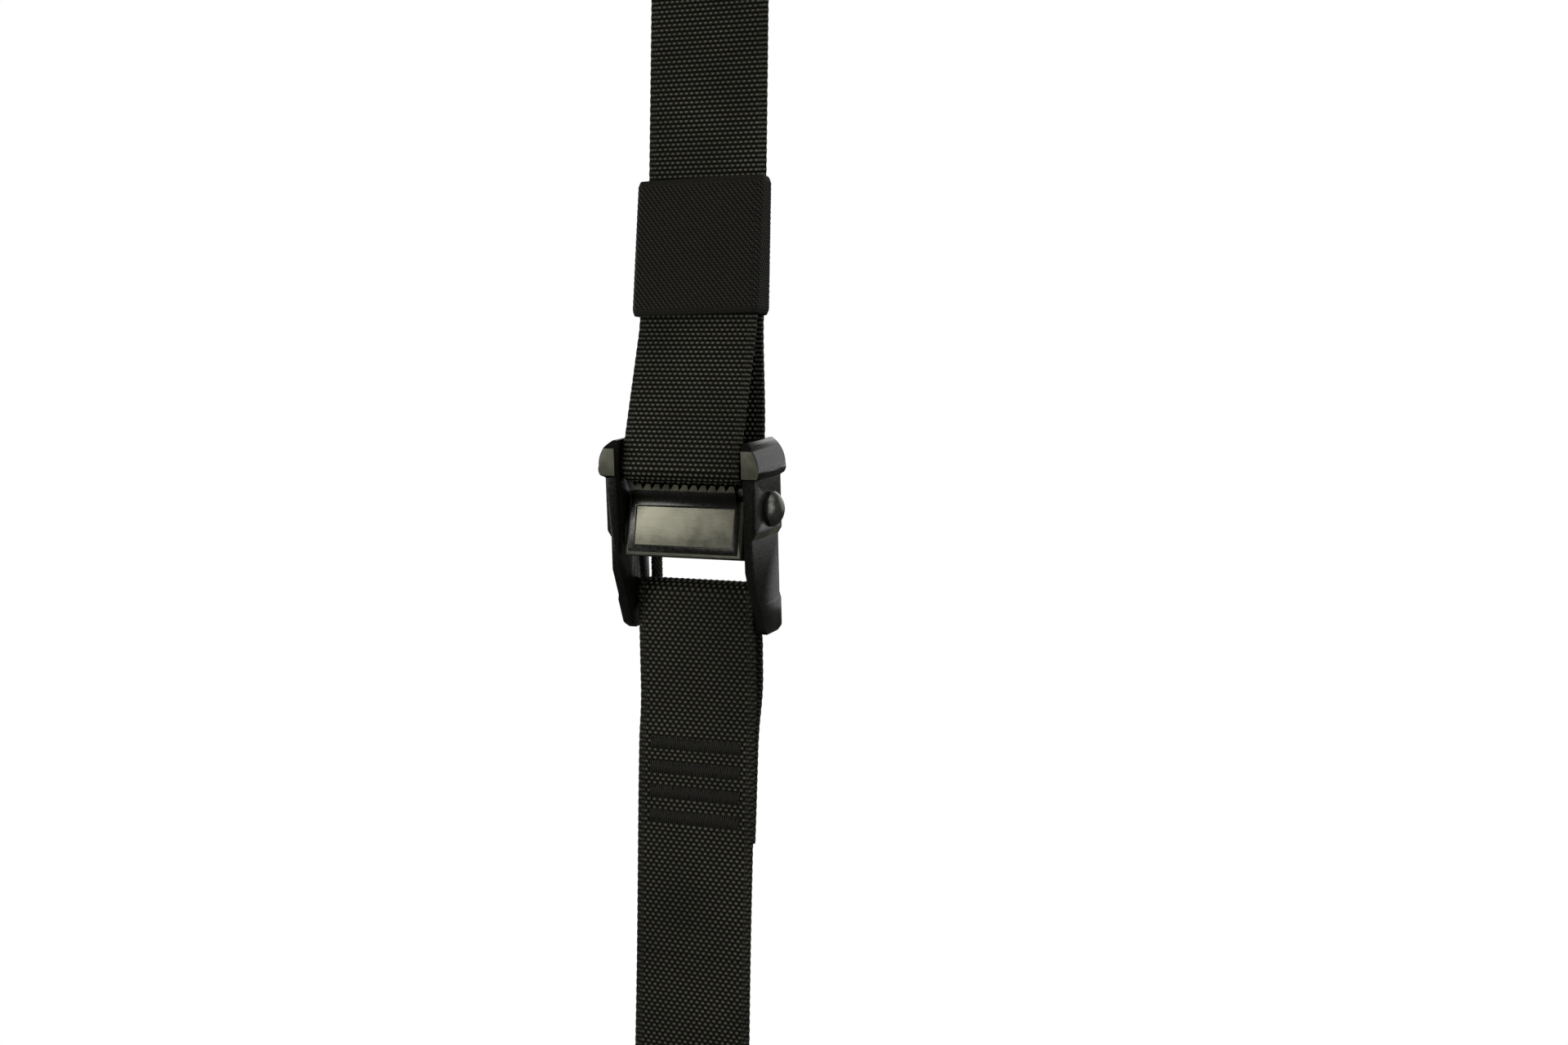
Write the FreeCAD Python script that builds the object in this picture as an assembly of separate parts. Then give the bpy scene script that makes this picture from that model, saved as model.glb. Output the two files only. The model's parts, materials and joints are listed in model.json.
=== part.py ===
"""Cam-buckle tie-down strap: a die-cast buckle with a sprung, toothed lever, a load strap, an anchor strap, and
an elastic keeper on a braided tether.

Millimetres, +Z up, as the strap hangs taut. X runs along the buckle's axle, -Y is the front (lever) side.
The origin is the centre of the upper eye, where the anchor bar or hook that holds the strap goes.
The buckle's own pieces are modelled with the axle at the origin and are then pitched and set on the strap.
"""
import FreeCAD
import Part
import math
import os

from FreeCAD import Vector

# --- webbing -------------------------------------------------------------------------------------------------
WEB_WIDTH = 38.0
WEB_THICK = 1.6
LAYER_GAP = 0.12          # between two layers sewn on each other
SOFT_GAP = 0.15           # between webbing and the casting that it bears on
NECK_RADIUS = 25.0        # how gently webbing bends where two layers part
LAYER_STEP = WEB_THICK + LAYER_GAP
FRONT_LAYER_Y = -LAYER_STEP / 2
BACK_LAYER_Y = LAYER_STEP / 2

# --- sewn eyes at both ends ----------------------------------------------------------------------------------
EYE_RADIUS = 9.0          # inside, for an anchor bar or a hook
EYE_NECK = 28.0           # from the eye's centre down to where its two layers meet

# --- bar tacks: short dense zigzag rows across the webbing ---------------------------------------------------
TACK_ROWS = 4
TACK_PITCH = 7.4
TACK_MARGIN = 4.25        # from each edge of the webbing
TACK_HEIGHT = 4.0
TACK_PROUD = 0.3          # thread above the webbing
TACK_START = 7.0          # from where the layers meet to the middle of the first row
TACK_END = 6.0            # from the middle of the last row to the end of the fold

# --- strap lengths, measured from the axle -------------------------------------------------------------------
AXLE_DROP = 227.0         # below the upper eye's centre
ANCHOR_TACK_DROP = 71.9   # first tack row of the buckle loop
LOWER_EYE_DROP = 234.0    # centre of the lower eye
TAIL_END_INSET = 1.5      # cut end of the loose tail, below the keeper's upper edge

# --- buckle casting, with the axle at (0, 0) -----------------------------------------------------------------
BUCKLE_PITCH = 6.0        # the loaded buckle leans its top forwards by this angle
WEB_SIDE_ROOM = 1.4       # from the webbing's edge to the side plate
PLATE_THICK = 3.6
LEG_THICK = 2.4
LEG_FOOT_THICK = 2.9
SHOULDER_THICK = 5.2
PLATE_BACK_Y = 7.0
PLATE_FRONT_Y = -12.5
SHOULDER_FRONT_Y = -13.4
FRAME_TOP_Z = 20.4
SHOULDER_Z = 10.2
LEDGE_Z = -6.0
LEDGE_RUN = 1.9
LEG_TAPER_Z = -17.0
LEG_FOOT_Z = -27.0
LEG_END_Z = -37.0
LEG_END_FRONT_Y = -5.0
LEG_END_CHAMFER = 2.0
FOOT_EDGE_CHAMFER = 0.6
FOOT_STEP_HALF = 0.8      # half the height over which the leg thickens to its foot
SHOULDER_CHAMFER = 2.2
SHOULDER_UNDERCUT = 0.6
SHOULDER_WIDEST = 2.2     # above the shoulder's lower edge
SHOULDER_CROWN = 3.1      # from the top down to where the shoulder turns in
TOP_RIM = 1.3             # flat top of the side plate, next to the bridge
EDGE_ROUND = 0.4

BRIDGE_BACK_Y = 3.0
BRIDGE_FRONT_Y = -9.6
BRIDGE_BOTTOM_Z = 9.4
BRIDGE_TOP_Z = 19.8
BRIDGE_FOOT_RADIUS = 2.6
BRIDGE_HEAD_RADIUS = 1.5
BRIDGE_FRONT_LEAN = 1.3   # the front face falls back by this much at its top
BRIDGE_WALL = 2.4

BAR_RADIUS = 3.0
BAR_Z = -26.8

# --- axle and spring -----------------------------------------------------------------------------------------
AXLE_RADIUS = 2.5
AXLE_FIT = 0.02           # radial, in the side plates
HUB_FIT = 0.06            # radial, in the lever's hub
HEAD_OVERLAP = 2.7        # the domed head's radius over the axle's
HEAD_FLANGE = 0.7
HEAD_DOME = 2.8
PEEN_OVERLAP = 1.3
PEEN_DOME = 0.6
END_PLAY = 0.2            # between each hub barrel and its side plate

WIRE_RADIUS = 0.65
COIL_RADIUS = AXLE_RADIUS + WIRE_RADIUS + 0.12
COIL_TURNS = 5
COIL_PITCH = 2 * WIRE_RADIUS + 0.08
SPRING_ROOM = 0.35        # between the coil's ends and the hub barrels
SPRING_BEND = 1.0         # radius of the bend into the axle
SPRING_TANG = 1.2         # straight end inside the axle
TANG_FIT = 0.2

# --- lever ---------------------------------------------------------------------------------------------------
HUB_WALL = 1.6
PAD_SIDE_ROOM = 1.5       # from the pad to the side plate
PAD_HEIGHT = 17.8
PAD_CENTRE_Y = -9.8
PAD_CENTRE_Z = -4.8
PAD_TILT = 14.0           # the pad's foot stands forward
PAD_THICK = 2.5
PANEL_PROUD = 1.0
PANEL_BEVEL = 0.75
PANEL_MARGIN = 0.35       # pad edge to the foot of the bevel
BADGE_SIDE_MARGIN = 3.1
BADGE_END_MARGIN = 3.2
BADGE_THICK = 0.5
BADGE_FIT = 0.1
RIB_DEPTH = 3.4
RIB_HEIGHT = 3.0
RIB_DROP = 4.4            # from the pad's centre to the rib's middle
CHEEK_THICK = 2.0
CHEEK_INSET = 1.2
TOOTH_PITCH = 3.0
CAM_SIDE_MARGIN = 1.5     # least distance from the pad's edge to the row of teeth
TOOTH_DEPTH = 1.6
TOOTH_ROWS = 3
TOOTH_GAP = 0.3           # from the tips to the webbing above them
CAM_BACK_Y = -1.0
CAM_FRONT_Y = -9.3

# --- elastic keeper ------------------------------------------------------------------------------------------
KEEPER_RISE = 56.3        # its lower edge above the axle
KEEPER_HEIGHT = 40.0
ELASTIC_THICK = 1.1
KEEPER_SIDE_ROOM = 0.3
KEEPER_BACK_ROOM = 0.3
KEEPER_FRONT_ROOM = 1.8   # in front of the tail at the upper edge
KEEPER_FOOT_ROOM = 1.6    # in front of the tail at the lower edge, for the travel
TAIL_STAND_OFF = 4.8      # tail in front of the load strap at the keeper's lower edge
POCKET_WIDTH = 15.0       # of the bulge over the sewn ends of the tether
POCKET_HEIGHT = 15.0
KEEPER_CORNER = 0.7       # inside radius where the elastic turns round the webbing's edge
LAP_INSET = 3.0           # stitched lap, in from the keeper's edge

# --- tether cord ---------------------------------------------------------------------------------------------
CORD_RADIUS = 1.8
CORD_CLEAR = 0.25
CORD_NECK = 10.0          # half the width left of the loop's back layer, between the cord's two ends
CORD_NOTCH_RISE = 4.1     # from the bar's centre up to the notch's top, and down to its foot
CORD_NOTCH_DROP = 14.4
CORD_NOTCH_FRONT_Y = 0.3  # in front of this the loop's front layer stays whole
CORD_NOTCH_BACK_Y = 12.0

HALF_WEB = WEB_WIDTH / 2
HALF_GAP = HALF_WEB + WEB_SIDE_ROOM
PAD_WIDTH = 2 * (HALF_GAP - PAD_SIDE_ROOM)
BADGE_WIDTH = PAD_WIDTH - 2 * BADGE_SIDE_MARGIN
BADGE_HEIGHT = PAD_HEIGHT - 2 * BADGE_END_MARGIN
HUB_RADIUS = AXLE_RADIUS + HUB_WALL
HEAD_RADIUS = AXLE_RADIUS + HEAD_OVERLAP
PEEN_RADIUS = AXLE_RADIUS + PEEN_OVERLAP
TOOTH_COUNT = int((PAD_WIDTH - 2 * CAM_SIDE_MARGIN) / TOOTH_PITCH)
TACK_WIDTH = WEB_WIDTH - 2 * TACK_MARGIN
PITCH = math.radians(BUCKLE_PITCH)


# --- small tools ---------------------------------------------------------------------------------------------
def box(x0, x1, y0, y1, z0, z1):
    return Part.makeBox(x1 - x0, y1 - y0, z1 - z0, Vector(x0, y0, z0))


def rod(radius, x0, x1, y=0.0, z=0.0):
    """A cylinder along X."""
    return Part.makeCylinder(radius, x1 - x0, Vector(x0, y, z), Vector(1, 0, 0))


def prism_x(points, x0, x1):
    """A (y, z) outline with straight sides, run along X."""
    corners = [Vector(x0, y, z) for y, z in points]
    return Part.Face(Part.makePolygon(corners + corners[:1])).extrude(Vector(x1 - x0, 0, 0))


def fused(shapes):
    return shapes[0].multiFuse(shapes[1:]).removeSplitter()


def mirror_x(shape):
    return shape.mirror(Vector(0, 0, 0), Vector(1, 0, 0))


def both_sides(shape):
    return [shape, mirror_x(shape)]


def export(name, *solids):
    shape = solids[0] if len(solids) == 1 else Part.makeCompound(list(solids))
    if not shape.isValid() or any(s.Volume <= 0 for s in shape.Solids) or not shape.Solids:
        raise ValueError(f"{name} isn't a valid solid")
    shape.exportStep(os.path.join("parts", name + ".step"))
    print(f"{name}: {len(shape.Solids)} solid(s), {shape.Volume:.1f} mm3")


# --- paths made of tangent lines and arcs in the (y, z) plane -------------------------------------------------
# A bend is (y, z, radius, turn): turn is 1 where the path turns left round it and -1 where it turns right.
# A point is a bend of radius 0.
def tangent(a, b):
    """The directed line that leaves bend a and meets bend b: (start, end, its left normal)."""
    dy, dz = b[0] - a[0], b[1] - a[1]
    offset = b[3] * b[2] - a[3] * a[2]
    angle = math.atan2(dz, dy) - math.asin(offset / math.hypot(dy, dz))
    normal = (-math.sin(angle), math.cos(angle))
    start = (a[0] - a[3] * a[2] * normal[0], a[1] - a[3] * a[2] * normal[1])
    end = (b[0] - b[3] * b[2] * normal[0], b[1] - b[3] * b[2] * normal[1])
    return start, end, normal


def arc_middle(bend, radius, a, b):
    """The middle of the arc round bend from point a to point b, the way the path turns."""
    first = math.atan2(a[1] - bend[1], a[0] - bend[0])
    sweep = (math.atan2(b[1] - bend[1], b[0] - bend[0]) - first) * bend[3] % (2 * math.pi) * bend[3]
    middle = first + sweep / 2
    return (bend[0] + radius * math.cos(middle), bend[1] + radius * math.sin(middle))


def side_edges(bends, lines, shift, x, closed=False):
    """The path's edges, moved to its left by shift."""
    def point(p):
        return Vector(x, p[0], p[1])

    def moved(p, normal):
        return (p[0] + shift * normal[0], p[1] + shift * normal[1])

    edges = []
    for k, (start, end, normal) in enumerate(lines):
        edges.append(Part.LineSegment(point(moved(start, normal)), point(moved(end, normal))).toShape())
        if k + 1 == len(lines) and not closed:
            break
        following = lines[(k + 1) % len(lines)]
        bend = bends[(k + 1) % len(bends)]
        a, b = moved(end, normal), moved(following[0], following[2])
        middle = arc_middle(bend, bend[2] - bend[3] * shift, a, b)
        edges.append(Part.Arc(point(a), point(middle), point(b)).toShape())
    return edges


def band(bends, width, thick):
    """Flat webbing of that width along X, whose middle follows the path from its first bend to its last."""
    lines = [tangent(a, b) for a, b in zip(bends, bends[1:])]
    left = side_edges(bends, lines, thick / 2, -width / 2)
    right = side_edges(bends, lines, -thick / 2, -width / 2)
    caps = [
        Part.LineSegment(left[i].Vertexes[e].Point, right[i].Vertexes[e].Point).toShape() for i, e in ((0, 0), (-1, 1))
    ]
    face = Part.Face(Part.Wire(Part.__sortEdges__(left + right + caps)))
    return face.extrude(Vector(width, 0, 0))


def hull(circles, x0, x1):
    """The solid whose (y, z) outline wraps circles given as (y, z, radius) in left-hand order."""
    bends = [(y, z, r, 1) for y, z, r in circles]
    lines = [tangent(a, b) for a, b in zip(bends, bends[1:] + bends[:1])]
    edges = side_edges(bends, lines, 0.0, x0, closed=True)
    return Part.Face(Part.Wire(Part.__sortEdges__(edges))).extrude(Vector(x1 - x0, 0, 0))


# --- the buckle's place on the strap -------------------------------------------------------------------------
def turned(y, z):
    """A point of the buckle, pitched about the axle."""
    return y * math.cos(PITCH) - z * math.sin(PITCH), y * math.sin(PITCH) + z * math.cos(PITCH)


BRIDGE_BACK_FOOT = (BRIDGE_BACK_Y - BRIDGE_FOOT_RADIUS, BRIDGE_BOTTOM_Z + BRIDGE_FOOT_RADIUS)
BRIDGE_FRONT_FOOT = (BRIDGE_FRONT_Y + BRIDGE_FOOT_RADIUS, BRIDGE_BOTTOM_Z + BRIDGE_FOOT_RADIUS)
BRIDGE_FRONT_HEAD = (
    BRIDGE_FRONT_Y + BRIDGE_FRONT_LEAN + BRIDGE_HEAD_RADIUS,
    BRIDGE_TOP_Z - BRIDGE_HEAD_RADIUS,
)
BRIDGE_BACK_HEAD = (BRIDGE_BACK_Y - BRIDGE_HEAD_RADIUS, BRIDGE_TOP_Z - BRIDGE_HEAD_RADIUS)
WEB_OFFSET = SOFT_GAP + WEB_THICK / 2

# The load strap hangs straight down and meets the bridge's back foot, and the bar is in line below the eyes.
AXLE_Y = FRONT_LAYER_Y - BRIDGE_FOOT_RADIUS - WEB_OFFSET - turned(*BRIDGE_BACK_FOOT)[0]
BAR_Y = (BAR_Z * math.sin(PITCH) - AXLE_Y) / math.cos(PITCH)
AXLE_Z = -AXLE_DROP


def on_strap(y, z):
    """A point of the buckle, in the part's frame."""
    ty, tz = turned(y, z)
    return ty + AXLE_Y, tz + AXLE_Z


def set_on_strap(shape):
    placed = shape.copy()
    placed.rotate(Vector(0, 0, 0), Vector(1, 0, 0), BUCKLE_PITCH)
    placed.translate(Vector(0, AXLE_Y, AXLE_Z))
    return placed


# --- buckle frame --------------------------------------------------------------------------------------------
def side_outline():
    """The side plate seen along the axle."""
    foot = LEG_END_CHAMFER
    return [
        (PLATE_BACK_Y, FRAME_TOP_Z),
        (SHOULDER_FRONT_Y + SHOULDER_CHAMFER, FRAME_TOP_Z),
        (SHOULDER_FRONT_Y, FRAME_TOP_Z - SHOULDER_CHAMFER),
        (SHOULDER_FRONT_Y, SHOULDER_Z),
        (PLATE_FRONT_Y, SHOULDER_Z - SHOULDER_UNDERCUT),
        (PLATE_FRONT_Y, LEG_TAPER_Z),
        (LEG_END_FRONT_Y - FOOT_EDGE_CHAMFER, LEG_END_Z + foot),
        (LEG_END_FRONT_Y + foot, LEG_END_Z),
        (PLATE_BACK_Y - foot, LEG_END_Z),
        (PLATE_BACK_Y, LEG_END_Z + foot),
    ]


def side_plate():
    """The +X side plate: a flat inner face, and an outside that swells at the shoulder and the axle."""
    inner = HALF_GAP
    shoulder, plate, leg, foot = (
        inner + t for t in (SHOULDER_THICK, PLATE_THICK, LEG_THICK, LEG_FOOT_THICK)
    )
    back = PLATE_BACK_Y + 1.0

    def point(x, z):
        return Vector(x, back, z)

    below = [
        point(inner, FRAME_TOP_Z),
        point(inner, LEG_END_Z),
        point(foot - FOOT_EDGE_CHAMFER, LEG_END_Z),
        point(foot, LEG_END_Z + 2 * FOOT_EDGE_CHAMFER),
        point(foot, LEG_FOOT_Z - FOOT_STEP_HALF),
        point(leg, LEG_FOOT_Z + FOOT_STEP_HALF),
        point(leg, LEDGE_Z - LEDGE_RUN),
        point(plate, LEDGE_Z),
        point(plate, SHOULDER_Z - 0.7),
        point(shoulder - 0.5, SHOULDER_Z),
    ]
    widest = SHOULDER_Z + SHOULDER_WIDEST
    edges = [Part.LineSegment(a, b).toShape() for a, b in zip(below, below[1:])]
    edges.append(
        Part.Arc(below[-1], point(shoulder, SHOULDER_Z + 0.9), point(shoulder + 0.1, widest)).toShape()
    )
    crown = point(inner + TOP_RIM, FRAME_TOP_Z)
    inward = point(shoulder - 1.0, FRAME_TOP_Z - SHOULDER_CROWN)
    edges.append(Part.Arc(point(shoulder + 0.1, widest), inward, crown).toShape())
    edges.append(Part.LineSegment(crown, below[0]).toShape())
    outside = Part.Face(Part.Wire(edges)).extrude(Vector(0, SHOULDER_FRONT_Y - 1.0 - back, 0))
    side = prism_x(side_outline(), inner, shoulder + 1.0)
    plate_solid = outside.common(side)
    outer_edges = [
        e for e in plate_solid.Edges
        if e.BoundBox.XMin > inner + 0.2 and e.Length > 3.0 and touches_outline(e)
    ]
    step = LEG_FOOT_THICK - LEG_THICK
    return plate_solid.makeFillet(min(EDGE_ROUND, 0.9 * step), outer_edges)


def touches_outline(edge):
    """Whether an edge lies along the plate's front or back face, where the casting is rounded."""
    b = edge.BoundBox
    flat = b.YLength < 0.01
    return flat and (abs(b.YMin - PLATE_BACK_Y) < 0.01 or abs(b.YMin - SHOULDER_FRONT_Y) < 0.01
                     or abs(b.YMin - PLATE_FRONT_Y) < 0.01)


def buckle_frame():
    """Two side plates, the bridge that the strap turns round, and the bar that the anchor strap is sewn round."""
    reach = HALF_GAP + 0.3
    bridge = hull(
        [
            (*BRIDGE_FRONT_FOOT, BRIDGE_FOOT_RADIUS),
            (*BRIDGE_BACK_FOOT, BRIDGE_FOOT_RADIUS),
            (*BRIDGE_BACK_HEAD, BRIDGE_HEAD_RADIUS),
            (*BRIDGE_FRONT_HEAD, BRIDGE_HEAD_RADIUS),
        ],
        -reach,
        reach,
    )
    core = box(
        -HALF_GAP + BRIDGE_WALL,
        HALF_GAP - BRIDGE_WALL,
        BRIDGE_FRONT_Y + BRIDGE_FRONT_LEAN + BRIDGE_WALL,
        BRIDGE_BACK_Y - BRIDGE_WALL,
        BRIDGE_BOTTOM_Z + 1.4 * BRIDGE_WALL,
        BRIDGE_TOP_Z + 1.0,
    )
    bar = rod(BAR_RADIUS, -reach, reach, BAR_Y, BAR_Z)
    frame = fused(both_sides(side_plate()) + [bridge.cut(core), bar])
    bore = rod(AXLE_RADIUS + AXLE_FIT, -HALF_GAP - SHOULDER_THICK - 1, HALF_GAP + SHOULDER_THICK + 1)
    return frame.cut(bore)


# --- axle and spring -----------------------------------------------------------------------------------------
def dome(radius, height, x, side):
    """A spherical cap on a flat face at x, standing out towards side."""
    sphere_radius = (radius ** 2 + height ** 2) / (2 * height)
    centre = x + side * (height - sphere_radius)
    ball = Part.makeSphere(sphere_radius, Vector(centre, 0, 0))
    x0, x1 = sorted((x, x + side * (height + 1)))
    return ball.common(box(x0, x1, -radius - 1, radius + 1, -radius - 1, radius + 1))


def spring_path():
    """The coil's middle line, its two ends, its slope, and the length of the leg that runs on to the rib."""
    length = COIL_TURNS * COIL_PITCH
    rib = rib_back_point()
    end_bend = (0.0, 0.0, COIL_RADIUS, -1)
    leave = tangent(end_bend, (rib[0], rib[1], 0.0, 1))[0]
    end_angle = math.atan2(leave[1], leave[0])
    slope = COIL_PITCH / (2 * math.pi * COIL_RADIUS)

    # The coil is wound round Z and laid along X, so that it runs clockwise from -X to +X and ends at end_angle.
    helix = Part.makeHelix(COIL_PITCH, length, COIL_RADIUS, 0, True)
    lay = FreeCAD.Matrix(0, 0, 1, -length / 2, 1, 0, 0, 0, 0, 1, 0, 0, 0, 0, 0, 1)
    helix = helix.transformGeometry(lay)
    last = max((v.Point for v in helix.Vertexes), key=lambda p: p.x)
    helix.rotate(Vector(0, 0, 0), Vector(1, 0, 0), math.degrees(end_angle - math.atan2(last.z, last.y)))
    ends = sorted((v.Point for v in helix.Vertexes), key=lambda p: p.x)
    return helix, ends, slope, math.dist(leave, rib)


def rib_back_point():
    """Where the spring's leg presses on the back of the lever's rib."""
    tilt = math.radians(PAD_TILT)
    back = PANEL_PROUD + PAD_THICK + RIB_DEPTH + WIRE_RADIUS + 0.1
    drop = RIB_DROP - 0.6
    y = PAD_CENTRE_Y + back * math.cos(tilt) - drop * math.sin(tilt)
    z = PAD_CENTRE_Z - back * math.sin(tilt) - drop * math.cos(tilt)
    return y, z


def around(angle, side):
    """The unit vector round the axle at that angle, the way the coil runs (side 1) or against it."""
    return Vector(0, side * math.sin(angle), -side * math.cos(angle))


def torsion_spring():
    helix, (first, last), slope, leg_length = spring_path()
    wind = math.cos(math.atan(slope))
    rise = math.sin(math.atan(slope))
    leg_way = around(math.atan2(last.z, last.y), 1) * wind + Vector(rise, 0, 0)
    leg = Part.LineSegment(last, last + leg_way * (leg_length / wind)).toShape()

    start_angle = math.atan2(first.z, first.y)
    back_way = around(start_angle, -1) * wind - Vector(rise, 0, 0)
    inward = Vector(0, -math.cos(start_angle), -math.sin(start_angle))
    corner = first + back_way * SPRING_BEND + inward * SPRING_BEND
    half = first + back_way * (SPRING_BEND * math.sin(math.pi / 4)) + inward * (
        SPRING_BEND * (1 - math.cos(math.pi / 4)))
    tang_end = corner + inward * SPRING_TANG
    tang = Part.LineSegment(tang_end, corner).toShape()
    bend = Part.Arc(corner, half, first).toShape()

    path = Part.Wire([tang, bend] + helix.Edges + [leg])
    section = Part.Wire(Part.makeCircle(WIRE_RADIUS, tang_end, inward))
    spring = path.makePipeShell([section], True, True)
    slot = Part.makeCylinder(WIRE_RADIUS + TANG_FIT, COIL_RADIUS + 1, corner + inward * (SPRING_TANG + 1), inward * -1)
    return spring, slot


def axle_rivet(slot):
    """The axle: a domed factory head on the +X side and a low peened end on the other."""
    outer = HALF_GAP + PLATE_THICK
    shaft = rod(AXLE_RADIUS, -outer - 0.1, outer + 0.1)
    flange = rod(HEAD_RADIUS, outer, outer + HEAD_FLANGE)
    head = dome(HEAD_RADIUS, HEAD_DOME, outer + HEAD_FLANGE, 1)
    peen = dome(PEEN_RADIUS, PEEN_DOME, -outer, -1)
    return fused([shaft, flange, head, peen]).cut(slot)


# --- lever ---------------------------------------------------------------------------------------------------
def on_pad(shape):
    """Sets a shape made round the middle of the pad's front face on the lever."""
    placed = shape.copy()
    placed.rotate(Vector(0, 0, 0), Vector(1, 0, 0), -PAD_TILT)
    placed.translate(Vector(0, PAD_CENTRE_Y, PAD_CENTRE_Z))
    return placed


def pad_box(width, height, y0, y1, z=0.0):
    return box(-width / 2, width / 2, y0, y1, z - height / 2, z + height / 2)


def bevelled_panel():
    """The pad's raised front, with a bevel down to the pad on all four sides."""
    foot_w, foot_h = PAD_WIDTH - 2 * PANEL_MARGIN, PAD_HEIGHT - 2 * PANEL_MARGIN
    sections = [
        (foot_w, foot_h, PANEL_PROUD),
        (foot_w, foot_h, PANEL_BEVEL),
        (foot_w - 2 * PANEL_BEVEL, foot_h - 2 * PANEL_BEVEL, 0.0),
    ]
    wires = []
    for w, h, y in sections:
        corners = [Vector(sx * w / 2, y, sz * h / 2) for sx, sz in ((-1, -1), (1, -1), (1, 1), (-1, 1))]
        wires.append(Part.makePolygon(corners + corners[:1]))
    return Part.makeLoft(wires, True, True)


def cam_teeth_outline():
    """The cam's toothed top, from back to front, under the flat run of webbing below the bridge."""
    tip_z = BRIDGE_BOTTOM_Z - SOFT_GAP - WEB_THICK - TOOTH_GAP
    run = (CAM_BACK_Y - CAM_FRONT_Y) / TOOTH_ROWS
    points = []
    for row in range(TOOTH_ROWS):
        foot = CAM_BACK_Y - row * run
        points.append((foot, tip_z - TOOTH_DEPTH))
        points.append((foot - 0.62 * run, tip_z))
    points.append((CAM_FRONT_Y, tip_z - TOOTH_DEPTH))
    return points, tip_z


def cam_lever():
    barrel_end = HALF_GAP - END_PLAY
    coil_half = COIL_TURNS * COIL_PITCH / 2 + WIRE_RADIUS + SPRING_ROOM
    teeth, tip_z = cam_teeth_outline()
    pad_back = PANEL_PROUD + PAD_THICK
    cam_half = TOOTH_COUNT * TOOTH_PITCH / 2

    pad = on_pad(pad_box(PAD_WIDTH, PAD_HEIGHT, PANEL_PROUD - 0.01, pad_back))
    panel = on_pad(bevelled_panel())
    rib = on_pad(pad_box(PAD_WIDTH - 2 * CHEEK_INSET, RIB_HEIGHT, pad_back - 0.2, pad_back + RIB_DEPTH, -RIB_DROP))
    hub = rod(HUB_RADIUS, -barrel_end, barrel_end)
    pad_top = (PAD_CENTRE_Y + pad_back, PAD_CENTRE_Z + PAD_HEIGHT / 2)
    cam = prism_x(
        [(2.6, 2.6)] + teeth + [(pad_top[0] - 2.6, pad_top[1] - 0.5), (pad_top[0] - 0.5, -4.2), (0.0, -HUB_RADIUS)],
        -cam_half,
        cam_half,
    )
    cheek_outer = PAD_WIDTH / 2 - CHEEK_INSET
    cheek = prism_x(
        [(0.5, -3.6), (pad_top[0] - 0.6, 1.0), (pad_top[0] - 1.9, PAD_CENTRE_Z - RIB_DROP),
         (pad_top[0] + 1.2, PAD_CENTRE_Z - RIB_DROP)],
        cheek_outer - CHEEK_THICK,
        cheek_outer,
    )
    lever = fused([cam, pad, panel, rib, hub] + both_sides(cheek))

    cuts = [rod(AXLE_RADIUS + HUB_FIT, -barrel_end - 1, barrel_end + 1)]
    cuts.append(rod(HUB_RADIUS + 0.2, -coil_half, coil_half))
    cuts.append(box(-coil_half, coil_half, -1.2, HUB_RADIUS + 3, -HUB_RADIUS - 1.5, HUB_RADIUS))
    cuts.append(on_pad(pad_box(BADGE_WIDTH + 2 * BADGE_FIT, BADGE_HEIGHT + 2 * BADGE_FIT, -1.0, BADGE_THICK + 0.1)))
    half_notch = 0.36 * TOOTH_PITCH
    for k in range(TOOTH_COUNT + 1):
        x = -cam_half + k * TOOTH_PITCH
        corners = [
            Vector(x, 0, tip_z - TOOTH_DEPTH),
            Vector(x - half_notch, 0, tip_z + 0.4),
            Vector(x + half_notch, 0, tip_z + 0.4),
        ]
        groove = Part.Face(Part.makePolygon([c + Vector(0, CAM_FRONT_Y - 1, 0) for c in corners + corners[:1]]))
        cuts.append(groove.extrude(Vector(0, CAM_BACK_Y - CAM_FRONT_Y + 1, 0)))
    return lever.cut(Part.makeCompound(cuts)).removeSplitter()


def badge_plate():
    return on_pad(pad_box(BADGE_WIDTH, BADGE_HEIGHT, 0.1, BADGE_THICK + 0.08))


# --- webbing -------------------------------------------------------------------------------------------------
def strap_path():
    """The load strap: fold end, upper eye, down to the bridge, round it, and up the front to the tail's end."""
    neck_z = -EYE_NECK
    fold_end = neck_z - TACK_START - (TACK_ROWS - 1) * TACK_PITCH - TACK_END
    tail_y = FRONT_LAYER_Y - LAYER_STEP
    keeper_foot = AXLE_Z + KEEPER_RISE
    keeper_head = keeper_foot + KEEPER_HEIGHT
    foot_r = BRIDGE_FOOT_RADIUS + WEB_OFFSET
    head_r = BRIDGE_HEAD_RADIUS + WEB_OFFSET
    bend_r = NECK_RADIUS
    return [
        (BACK_LAYER_Y, fold_end, 0.0, 1),
        (BACK_LAYER_Y + bend_r, neck_z, bend_r, -1),
        (0.0, 0.0, EYE_RADIUS + WEB_THICK / 2, 1),
        (FRONT_LAYER_Y - bend_r, neck_z, bend_r, -1),
        (*on_strap(*BRIDGE_BACK_FOOT), foot_r, -1),
        (*on_strap(*BRIDGE_FRONT_FOOT), foot_r, -1),
        (*on_strap(*BRIDGE_FRONT_HEAD), head_r, -1),
        (FRONT_LAYER_Y - TAIL_STAND_OFF - bend_r, keeper_foot, bend_r, 1),
        (tail_y - bend_r, keeper_head - 2 * TAIL_END_INSET, bend_r, 1),
        (tail_y, keeper_head - TAIL_END_INSET, 0.0, 1),
    ]


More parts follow.
